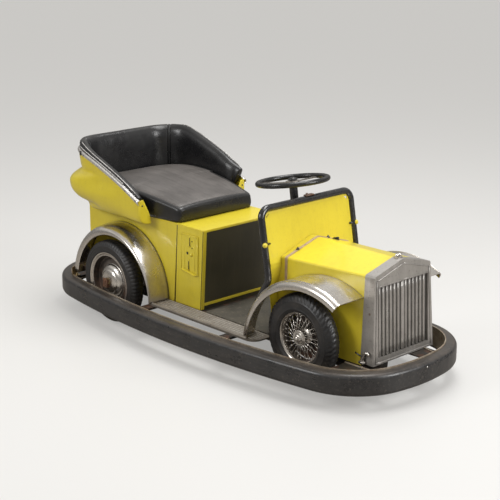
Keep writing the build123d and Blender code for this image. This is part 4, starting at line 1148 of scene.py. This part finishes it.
# shares across and down the plate, then a slot's surround (width, height) or a hole's (out, radius, sides)
COIN_SLOTS = ((0.54, 0.175, 0.0085, 0.04), (0.47, 0.78, 0.009, 0.042))
COIN_HOLES = (
    (0.66, 0.16, 0.0005, 0.0026, 12), (0.66, 0.33, 0.0005, 0.0026, 12), (0.4, 0.485, 0.0006, 0.0052, 14),
)
COIN_FRAME = ((0.05, 0.03), (0.95, 0.03), (0.95, 0.97), (0.05, 0.97), (0.05, 0.03))
COIN_RIVETS = tuple((across, down) for across in (0.12, 0.9) for down in (0.05, 0.5, 0.93))
COIN_LIP = ((0.1, 0.9, 0.0), (0.96, 0.985, 0.0), (0.86, 0.985, 0.011), (0.14, 0.93, 0.009))


def plate_spot(across, down, out=0.0):
    """A place on the plate, by shares of its face and a distance out from it."""
    x, z = lerp(PLATE_LOW[0], PLATE_HIGH[0], across), lerp(PLATE_HIGH[2], PLATE_LOW[2], down)
    return Vector((x, PLATE_LOW[1] - out, z))


def coin_plate():
    """Slots, holes, a knob, rivets, a frame line and the turned-out lip."""
    marks = [
        rounded_block(plate_spot(across, down, 0.0009), (0.0036, 0.0012, 0.03), 0.0005)
        for across, down, _, _ in COIN_SLOTS
    ]
    for across, down, out, radius, count in COIN_HOLES:
        marks.append(rod(plate_spot(across, down, -0.001), plate_spot(across, down, out), radius, count))
    piece("coin_plate_slots", *joined(marks), "black_plastic", smooth=False)
    raised = [
        rounded_block(plate_spot(across, down, 0.0003), (width, 0.0012, height), 0.0005)
        for across, down, width, height in COIN_SLOTS
    ]
    raised.append(domed(plate_spot(0.62, 0.5), (0, -1, 0), 0.0068, 0.0065))
    raised += [screw_head(plate_spot(*spot), (0, -1, 0), height=0.0014) for spot in COIN_RIVETS]
    piece("coin_plate_bosses", *joined(raised), "yellow_paint")
    frame_line = [plate_spot(*spot, 0.0002) for spot in COIN_FRAME]
    beads = [rod(a, b, 0.0011, 8) for a, b in zip(frame_line, frame_line[1:])]
    beads += [rod(plate_spot(across, 0.1), plate_spot(across, 0.9), 0.0009, 8) for across in (0.24, 0.8)]
    piece("coin_plate_beads", *joined(beads), "yellow_paint")
    lip = slab([plate_spot(*spot) for spot in COIN_LIP], (0, 0, 0.0016))
    bevelled(piece("coin_plate_lip", *lip, "yellow_paint", smooth=False))


coin_plate()


# ---- fittings of the tub and the windscreen
STRIP_OUT, STRIP_MIDDLE = TUB_HALF + 0.007, 0.0085
STRIP_SCREW_XS = (-0.585, -0.5, -0.415, -0.34, -0.285)
STRIP_JOINT_X, JOINT_IN, JOINT_SIZE = -0.606, 0.0018, (0.0022, 0.006, 0.0165)
TAIL_SLOT = (-0.7165, 0.205, 0.49)
FLAP_SCREW_IN, FLAP_SCREW_Z = 0.014, 0.47
_, SCREEN_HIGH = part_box("windscreen_frame")
_, PANEL_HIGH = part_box("windscreen_panel")
SCREEN_TUBE_R = 0.012
SCREEN_KNEE, SCREEN_HEAD = Vector((0.34, 0.0, 0.382)), Vector((0.309, 0.0, 0.558))
PANEL_KNEE, PANEL_HEAD = Vector((0.343, 0.0, 0.378)), Vector((0.314, 0.0, PANEL_HIGH[2]))
KNOB_SHARE = 0.36
FOLD_T, FOLD_LAP, FOLD_BACK = 0.0014, 0.004, 0.0012


def strip_point(x, sign, inset=0.0):
    return x, sign * (STRIP_OUT - inset), along(TUB_EDGE, x) - STRIP_MIDDLE


def tub_fasteners():
    """Screws and a joint along each side of the strip, the flap's screws and two small slots in the tail."""
    screws, joints = [], []
    for _, sign in SIDES:
        screws += [screw_head(strip_point(x, sign), (0, sign, 0)) for x in STRIP_SCREW_XS]
        joints.append(rounded_block(strip_point(STRIP_JOINT_X, sign, JOINT_IN), JOINT_SIZE, 0.0004))
        slot_x, slot_y, slot_z = TAIL_SLOT
        joints.append(rounded_block((slot_x, sign * slot_y, slot_z), (0.012, 0.01, 0.024), 0.001))
        flap = (TUB_FRONT + 0.0005, sign * (TUB_HALF - FLAP_SCREW_IN), FLAP_SCREW_Z)
        joints.append(screw_head(flap, (1, 0, 0), 0.0032, 0.0014))
    piece("strip_screws", *joined(screws), "machined_steel")
    piece("strip_joints", *joined(joints), "black_plastic", smooth=False)


def windscreen_fittings():
    """The hinge knob and the stay on each leg, and the small fitting on the top tube."""
    knobs, stays = [], []
    for _, sign in SIDES:
        spot = SCREEN_KNEE.lerp(SCREEN_HEAD, KNOB_SHARE)
        spot.y = sign * (SCREEN_HIGH[1] - SCREEN_TUBE_R)
        knobs.append(domed(spot + Vector((0.009, sign * 0.006, 0)), (0.75, sign * 0.6, 0), 0.0085, 0.0085))
        stays.append(rod(spot + Vector((0.008, 0, 0)), spot + Vector((0.004, -sign * 0.022, 0)), 0.0035, 10))
    piece("windscreen_knobs", *joined(knobs), "yellow_paint")
    piece("windscreen_stays", *joined(stays), "black_tube")
    x, top_z = SCREEN_HEAD.x, SCREEN_HIGH[2]
    clip = rounded_block((x, 0.012, top_z + 0.0015), (0.016, 0.04, 0.005), 0.0018)
    pin = rod((x, 0.002, top_z), (x, 0.002, top_z + 0.009), 0.004, 12)
    piece("windscreen_top_fitting", *joined([clip, pin]), "brown_fitting")


def windscreen_fold():
    """A folded flange that closes the panel against its tube at the top and on both sides."""
    rise = (SCREEN_HEAD - PANEL_HEAD) * 0.62
    inner, outer = PANEL_HIGH[1] - FOLD_LAP, SCREEN_HIGH[1] - 2 * SCREEN_TUBE_R + 0.003
    low, high = PANEL_HEAD - rise * 0.2, PANEL_HEAD + rise
    corners = ((low, -inner), (low, inner), (high, inner), (high, -inner))
    folds = [[level + Vector((0, y, 0)) for level, y in corners]]
    foot, head = PANEL_KNEE - Vector((FOLD_BACK, 0, 0)), PANEL_HEAD + rise * 0.1 - Vector((FOLD_BACK, 0, 0))
    for _, sign in SIDES:
        near, far = Vector((0, sign * inner, 0)), Vector((0, sign * outer, 0))
        folds.append([foot + near, foot + far, head + far, head + near])
    made = joined([slab(corners, (FOLD_T, 0, 0)) for corners in folds])
    piece("windscreen_panel_flange", *made, "yellow_paint", smooth=False)


tub_fasteners()
windscreen_fittings()
windscreen_fold()


# ---- bonnet and grille
BAND_LOW, BAND_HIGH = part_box("bonnet_trim")
STUD_LEANS = ((-0.096, -0.1), (0.05, 0.1))
CLIP_X, CLIP_Y, ABOVE = BAND_HIGH[0] + 0.012, 0.072, 0.6
BARS_LOW, BARS_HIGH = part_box("grille_bars")
SHELL_LOW, SHELL_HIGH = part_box("grille_shell")
BAR_DEPTH, GRILLE_IN = 0.018, 0.0016
GRILLE_LEAN = (BARS_HIGH[0] - BARS_LOW[0] - BAR_DEPTH) / (BARS_HIGH[2] - BARS_LOW[2])
LOUVRES, CENTRE_HALF, LOUVRE_HALF, LOUVRE_END, LOUVRE_SHIFT = 6, 0.008, 0.122, 0.35, 0.16
UPRIGHT_STEPS = 8
# (share of the width, distance back from the front face) of a louvre and of the centre bar
LOUVRE_TABLE = (
    (0.12, 0.012), (0.12, 0.0042), (0.15, 0.0016), (0.22, 0.0003), (0.32, 0.0003), (0.5, 0.0013),
    (0.74, 0.0027), (0.98, 0.0042), (0.98, 0.012),
)
CENTRE_TABLE = (
    (0.0, 0.01), (0.0, 0.0022), (0.08, 0.001), (0.2, 0.0006), (0.8, 0.0006), (0.92, 0.001), (1.0, 0.0022),
    (1.0, 0.01),
)
# ((y, z) corners, proud, radius, steps) of the ridge round the front, its foot and the bar over the louvres
RIDGES = (
    (((-0.136, 0.128), (-0.126, 0.394), (0.0, 0.4285), (0.126, 0.394), (0.136, 0.128)), 0.0018, 0.0018, 10),
    (((-0.136, 0.128), (0.136, 0.128)), 0.0018, 0.0018, 10),
    (((-0.12, 0.376), (0.0, 0.376), (0.12, 0.376)), 0.0014, 0.0012, 6),
)
SIDE_SCREW_Z = 0.288


def bonnet_studs():
    """Two studs on the trim and a spring clip on the bonnet."""
    studs = []
    for y, lean in STUD_LEANS:
        spot = on_skin("bonnet_trim", ((BAND_LOW[0] + BAND_HIGH[0]) / 2, y, ABOVE), (0, 0, -1))
        studs.append(domed(spot, (0, lean, 1), 0.006, 0.0045))
        studs.append(rod(spot, spot + Vector((0, 0, 0.0075)), 0.0022, 10))
    spot = on_skin("bonnet", (CLIP_X, CLIP_Y, ABOVE), (0, 0, -1))
    studs.append(rounded_block(spot + Vector((0, 0, 0.002)), (0.024, 0.01, 0.006), 0.0015))
    studs.append(rod(spot + Vector((-0.01, 0, 0.004)), spot + Vector((0.011, 0, 0.009)), 0.0026, 10))
    piece("bonnet_studs", *joined(studs), "black_tube")


def grille_x(z, back):
    return SHELL_HIGH[0] - GRILLE_IN - GRILLE_LEAN * (z - SHELL_LOW[2]) - back


def upright(table, start, width):
    """A pressed upright of constant section, following the grille's lean."""
    rows = []
    for k in range(UPRIGHT_STEPS + 1):
        z = lerp(BARS_LOW[2], BARS_HIGH[2], k / UPRIGHT_STEPS)
        rows.append([Vector((grille_x(z, back), start + width * share, z)) for share, back in table])
    return closed_sleeve(rows)


def grille_louvres():
    pitch = (LOUVRE_HALF - CENTRE_HALF) / (LOUVRES + LOUVRE_END)
    uprights = [upright(CENTRE_TABLE, -CENTRE_HALF, 2 * CENTRE_HALF)]
    for n in range(LOUVRES):
        uprights.append(upright(LOUVRE_TABLE, CENTRE_HALF + n * pitch, pitch))
        uprights.append(upright(LOUVRE_TABLE, -CENTRE_HALF - (n + 1 + LOUVRE_SHIFT) * pitch, pitch))
    louvres = piece("grille_louvres", *joined(uprights), "grille_metal", replaces=("grille_bars",))
    for face in louvres.data.polygons:
        face.use_smooth = len(face.vertices) == 4


def grille_ridge():
    ridge = []
    for corners, proud, radius, steps in RIDGES:
        for (y0, z0), (y1, z1) in zip(corners, corners[1:]):
            spots = [(lerp(y0, y1, k / steps), lerp(z0, z1, k / steps)) for k in range(steps + 1)]
            ridge.append(tube([(grille_x(z, -proud), y, z) for y, z in spots], radius, 8))
    piece("grille_ridge", *joined(ridge), "grille_metal")


def grille_side_screws():
    middle_x = (SHELL_LOW[0] + SHELL_HIGH[0]) / 2
    screws = []
    for _, sign in SIDES:
        spot = on_skin("grille_shell", (middle_x, sign * 0.3, SIDE_SCREW_Z), (0, -sign, 0))
        screws.append(domed(spot, (0, sign, 0), 0.0042, 0.0022))
    piece("grille_side_screws", *joined(screws), "machined_steel")


bonnet_studs()
grille_louvres()
grille_ridge()
grille_side_screws()


# ---- nose
HOOK_LOW, HOOK_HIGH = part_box("front_hooks")
HOOK_INSET = 0.008
# (forward, up, radius) along a hook from its foot
HOOK_LINE = (
    (0.0, -0.003, 0.0062), (0.001, 0.012, 0.0062), (0.005, 0.026, 0.0056), (0.013, 0.036, 0.005),
    (0.022, 0.037, 0.0046), (0.028, 0.03, 0.004),
)
# (one end, other end, radius) of a hook's clips, as (forward, outward, up) from its foot
HOOK_CLIPS = (
    ((-0.022, 0.008, 0.032), (0.004, 0.001, 0.02), 0.0026),
    ((0.0, 0.007, 0.024), (0.014, -0.006, 0.027), 0.0034),
)
NOSE_Z = BOARD_LOW[2] + 0.002
# corners (x, y) of the beige-edged struts and of the dark plates beside them, and their thickness
NOSE_STRUTS = (
    ((0.662, -0.183), (0.8, -0.178), (0.8, -0.172), (0.662, -0.177)),
    ((0.7, 0.12), (0.812, 0.093), (0.811, 0.087), (0.7, 0.114)),
)
NOSE_PLATES = (
    ((0.664, -0.183), (0.8, -0.178), (0.772, -0.226), (0.735, -0.255), (0.664, -0.285)),
    ((0.755, 0.106), (0.811, 0.09), (0.815, 0.03), (0.755, 0.03)),
)
STRUT_T, NOSE_PLATE_T = 0.004, 0.0015


def nose_hooks():
    """Chrome hooks with black clips."""
    hooks, clips = [], []
    for _, sign in SIDES:
        y = HOOK_LOW[1] + HOOK_INSET if sign < 0 else HOOK_HIGH[1] - HOOK_INSET
        foot = Vector((HOOK_LOW[0] + 0.006, y, HOOK_LOW[2]))
        path = [foot + Vector((ahead, 0, up)) for ahead, up, _ in HOOK_LINE]
        hooks.append(tube(path, [radius for _, _, radius in HOOK_LINE], 12))
        hooks.append(rounded_block(foot + Vector((0.002, 0, 0.003)), (0.024, 0.016, 0.008), 0.002))
        for *ends, radius in HOOK_CLIPS:
            a, b = (foot + Vector((ahead, sign * out, up)) for ahead, out, up in ends)
            clips.append(rod(a, b, radius, 10))
    piece("nose_hooks", *joined(hooks), "chrome", replaces=("front_hooks",))
    piece("nose_hook_clips", *joined(clips), "black_tube")


def nose_flats(name, outlines, thickness, finish):
    flats = [slab([(x, y, NOSE_Z) for x, y in outline], (0, 0, thickness)) for outline in outlines]
    piece(name, *joined(flats), finish, smooth=False)


nose_hooks()
nose_flats("nose_struts", NOSE_STRUTS, STRUT_T, "channel_steel")
nose_flats("nose_plates", NOSE_PLATES, NOSE_PLATE_T, "frame_steel")


# ---- fenders, ring and steering hub
# the middles of the arcs along a rear fender's crest and along its lip
CREST_X, CREST_Z, LIP_X, LIP_Z, LIP_R = -0.441, 0.125, -0.419, 0.121, 0.214
FENDER_SECTION = (
    # share of the width from the inner edge, share of the way from the crest's arc to the lip's
    (0.0, 0.0), (0.14, 0.004), (0.29, 0.018), (0.44, 0.045), (0.58, 0.085), (0.7, 0.145), (0.81, 0.23),
    (0.9, 0.345), (0.955, 0.48), (0.985, 0.63), (1.0, 0.79), (1.0, 0.92), (0.992, 1.0), (0.972, 1.015),
)
FENDER_STEPS, FENDER_SHEET, FENDER_TIP, FENDER_RIPPLE = 72, 0.002, 0.039, 0.0006
BEAD_STEPS, BEAD_IN, BEAD_REAR, BEAD_FRONT, BEAD_LOWEST = 48, 0.017, 0.075, 0.006, 0.03
FENDER_BEAD_R, BEAD_RAISE = 0.0016, 0.0002
REAR_TIP_LOW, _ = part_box("rear_fender_right")
_, RING_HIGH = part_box("bumper_ring")
# (x, z, size) of a bracket's plates from the fender's rear tip, and its bolt
BRACKET_Y = 0.262
BRACKET_PLATES = ((0.018, 0.006, (0.03, 0.022, 0.004)), (0.006, 0.02, (0.004, 0.022, 0.03)))
BOLT_X, BOLT_LOW, BOLT_HIGH, BOLT_R = 0.022, 0.004, 0.014, 0.0045


def arc_spot(x, z, radius, turn):
    return Vector((x + radius * math.cos(turn), 0, z + radius * math.sin(turn)))


def rear_fender(side_name, sign):
    """A rear fender, crowned across its width between the crest's arc and the lip's."""
    node = "rear_fender_" + side_name
    low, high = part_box(node)
    inner_y, outer_y = sorted((abs(low[1]), abs(high[1])))
    crest_r = high[2] - CREST_Z
    start = -math.asin((CREST_Z - low[2]) / crest_r)
    end = math.pi - math.asin((low[2] + FENDER_TIP - CREST_Z) / crest_r)
    rows = []
    for k in range(FENDER_STEPS + 1):
        turn = lerp(start, end, k / FENDER_STEPS)
        crest, lip = arc_spot(CREST_X, CREST_Z, crest_r, turn), arc_spot(LIP_X, LIP_Z, LIP_R, turn)
        ripple = FENDER_RIPPLE * noise.noise(Vector((turn * 3.0, sign, 0.0)))
        row = []
        for across, down in FENDER_SECTION:
            spot = crest.lerp(lip, down)
            y = sign * (lerp(inner_y, outer_y, across) + ripple)
            row.append(Vector((spot.x, y, max(spot.z, low[2]))))
        rows.append(row)
    thickened(piece(node + "_crowned", *sheet(rows), "chrome", replaces=(node,)), FENDER_SHEET)


def front_fender_bead(side_name, sign):
    """The pressed line along a front fender's crest."""
    node = "front_fender_" + side_name
    low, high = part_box(node)
    y = sign * (max(abs(low[1]), abs(high[1])) - BEAD_IN)
    path = []
    for k in range(BEAD_STEPS):
        x = lerp(low[0] + BEAD_REAR, high[0] - BEAD_FRONT, k / (BEAD_STEPS - 1))
        spot = on_skin(node, (x, y, ABOVE), (0, 0, -1))
        if spot and spot.z > low[2] + BEAD_LOWEST:
            path.append(spot + Vector((0, 0, BEAD_RAISE)))
    piece("front_fender_bead_" + side_name, *tube(path, FENDER_BEAD_R, 8), "chrome")


def rear_fender_brackets():
    """A small angle and its bolt at each rear fender's tip."""
    tip_x, tip_z = REAR_TIP_LOW[0], REAR_TIP_LOW[2]
    brackets = []
    for _, sign in SIDES:
        y = sign * BRACKET_Y
        brackets += [rounded_block((tip_x + x, y, tip_z + z), size, 0.001) for x, z, size in BRACKET_PLATES]
        ends = [(tip_x + BOLT_X, y, tip_z + up) for up in (BOLT_LOW, BOLT_HIGH)]
        brackets.append(rod(*ends, BOLT_R, 6))
    piece("rear_fender_brackets", *joined(brackets), "brass", smooth=False)


def ring_plug():
    """A pale plug in the ring's nose."""
    plug = screw_head((RING_HIGH[0] - 0.0005, 0.0, RING_HIGH[2] - 0.015), (1, 0, 0), 0.0034, 0.0016)
    piece("ring_plug", *plug, "piping")


def steering_nut():
    """A domed nut on the steering wheel's boss."""
    joint = next(j for j in frame["joints"] if j["name"] == "steering_turn")
    axis, pivot = Vector(joint["axis"]), Vector(joint["pos_m"])
    nut = domed(pivot + axis * 0.007, axis, 0.013, 0.006)
    washer = rod(pivot + axis * 0.004, pivot + axis * 0.008, 0.0165, 24)
    piece("steering_nut", *joined([nut, washer]), "black_plastic", "steering_wheel")


for make in (rear_fender, front_fender_bead):
    for side in SIDES:
        make(*side)
rear_fender_brackets()
ring_plug()
steering_nut()


# ---- stage, light and camera
FLOOR_SIZE = 60
# colours as (where the camera sees them, in the light that they send to the object)
FLOOR_BASE = ((0.4, 0.395, 0.385), (0.32, 0.295, 0.265))
FLOOR_GLOW = ((0.33, 0.325, 0.315), (0.0, 0.0, 0.0))
BACKDROP, SKY_STRENGTH, SKY_TINT = (0.72, 0.71, 0.69), 0.8, (1.0, 0.985, 0.955)
# (share of the way up, grey)
SKY = ((0.0, 0.26), (0.05, 0.42), (0.13, 0.16), (0.28, 0.5), (0.5, 0.9), (0.72, 0.5), (1.0, 1.0))
# name, place, what it points at, size, power
LIGHTS = (
    ("top", (0.3, 0.5, 3.2), (0, 0, 0.2), (2.6, 1.2), 74),
    ("front", (3.6, 1.0, 1.9), (0.2, 0, 0.3), (1.5, 1.5), 74),
    ("near side", (-0.9, -3.4, 2.3), (-0.1, 0, 0.3), (1.3, 1.3), 50),
)
YAW, PITCH, ROLL = 0.757, 0.281, 0.002
CAMERA_AT, LENS, SENSOR = (3.1435, -2.9376, 1.5575), 90.0, 36.0


def camera_only(tree, seen, unseen, socket):
    """One colour where the camera sees it, and another for the light it sends to the object."""
    rays = tree.nodes.new("ShaderNodeLightPath")
    tree.links.new(mix(tree, rays.outputs["Is Camera Ray"], unseen, seen), socket)


def pale_floor():
    bpy.ops.mesh.primitive_plane_add(size=FLOOR_SIZE, location=(0, 0, 0))
    floor = bpy.context.object
    floor.name = "floor"
    mat, tree, shader = new_material("pale floor")
    camera_only(tree, *FLOOR_BASE, shader.inputs["Base Color"])
    camera_only(tree, *FLOOR_GLOW, shader.inputs["Emission Color"])
    shader.inputs["Emission Strength"].default_value = 1.0
    shader.inputs["Roughness"].default_value = 0.5
    floor.data.materials.append(mat)


def studio_world():
    """A plain backdrop for the camera, and a banded grey sky for the reflections."""
    world = bpy.data.worlds.new("studio")
    bpy.context.scene.world = world
    world.use_nodes = True
    tree = world.node_tree
    background = tree.nodes["Background"]
    sky = tree.nodes.new("ShaderNodeValToRGB")
    while len(sky.color_ramp.elements) < len(SKY):
        sky.color_ramp.elements.new(0.5)
    for element, (at, level) in zip(sky.color_ramp.elements, SKY):
        element.position = at
        element.color = (*(level * tint for tint in SKY_TINT), 1)
    height = upward(tree, tree.nodes.new("ShaderNodeTexCoord").outputs["Generated"])
    tree.links.new(height, sky.inputs["Fac"])
    camera_only(tree, BACKDROP, sky.outputs["Color"], background.inputs["Color"])
    background.inputs["Strength"].default_value = SKY_STRENGTH


def area_light(name, at, to, size, power):
    data = bpy.data.lights.new(name, "AREA")
    data.energy = power
    data.size, data.size_y = size
    data.shape = "RECTANGLE" if size[0] != size[1] else "SQUARE"
    lamp = bpy.data.objects.new(name, data)
    bpy.context.collection.objects.link(lamp)
    lamp.location = at
    lamp.rotation_euler = (Vector(to) - Vector(at)).to_track_quat("-Z", "Y").to_euler()


def photo_camera():
    """The camera, solved from the photograph as a yaw, a pitch and a roll."""
    back = Vector((math.cos(YAW) * math.cos(PITCH), -math.sin(YAW) * math.cos(PITCH), math.sin(PITCH)))
    right = Vector((0, 0, 1)).cross(back).normalized()
    data = bpy.data.cameras.new("camera")
    data.lens, data.sensor_width = LENS, SENSOR
    camera = bpy.data.objects.new("camera", data)
    bpy.context.collection.objects.link(camera)
    rotation = Matrix((right, back.cross(right), back)).transposed() @ Matrix.Rotation(ROLL, 3, "Z")
    camera.matrix_world = Matrix.Translation(CAMERA_AT) @ rotation.to_4x4()
    bpy.context.scene.camera = camera
    bpy.context.scene.view_settings.view_transform = "Standard"


pale_floor()
studio_world()
for light in LIGHTS:
    area_light(*light)
photo_camera()
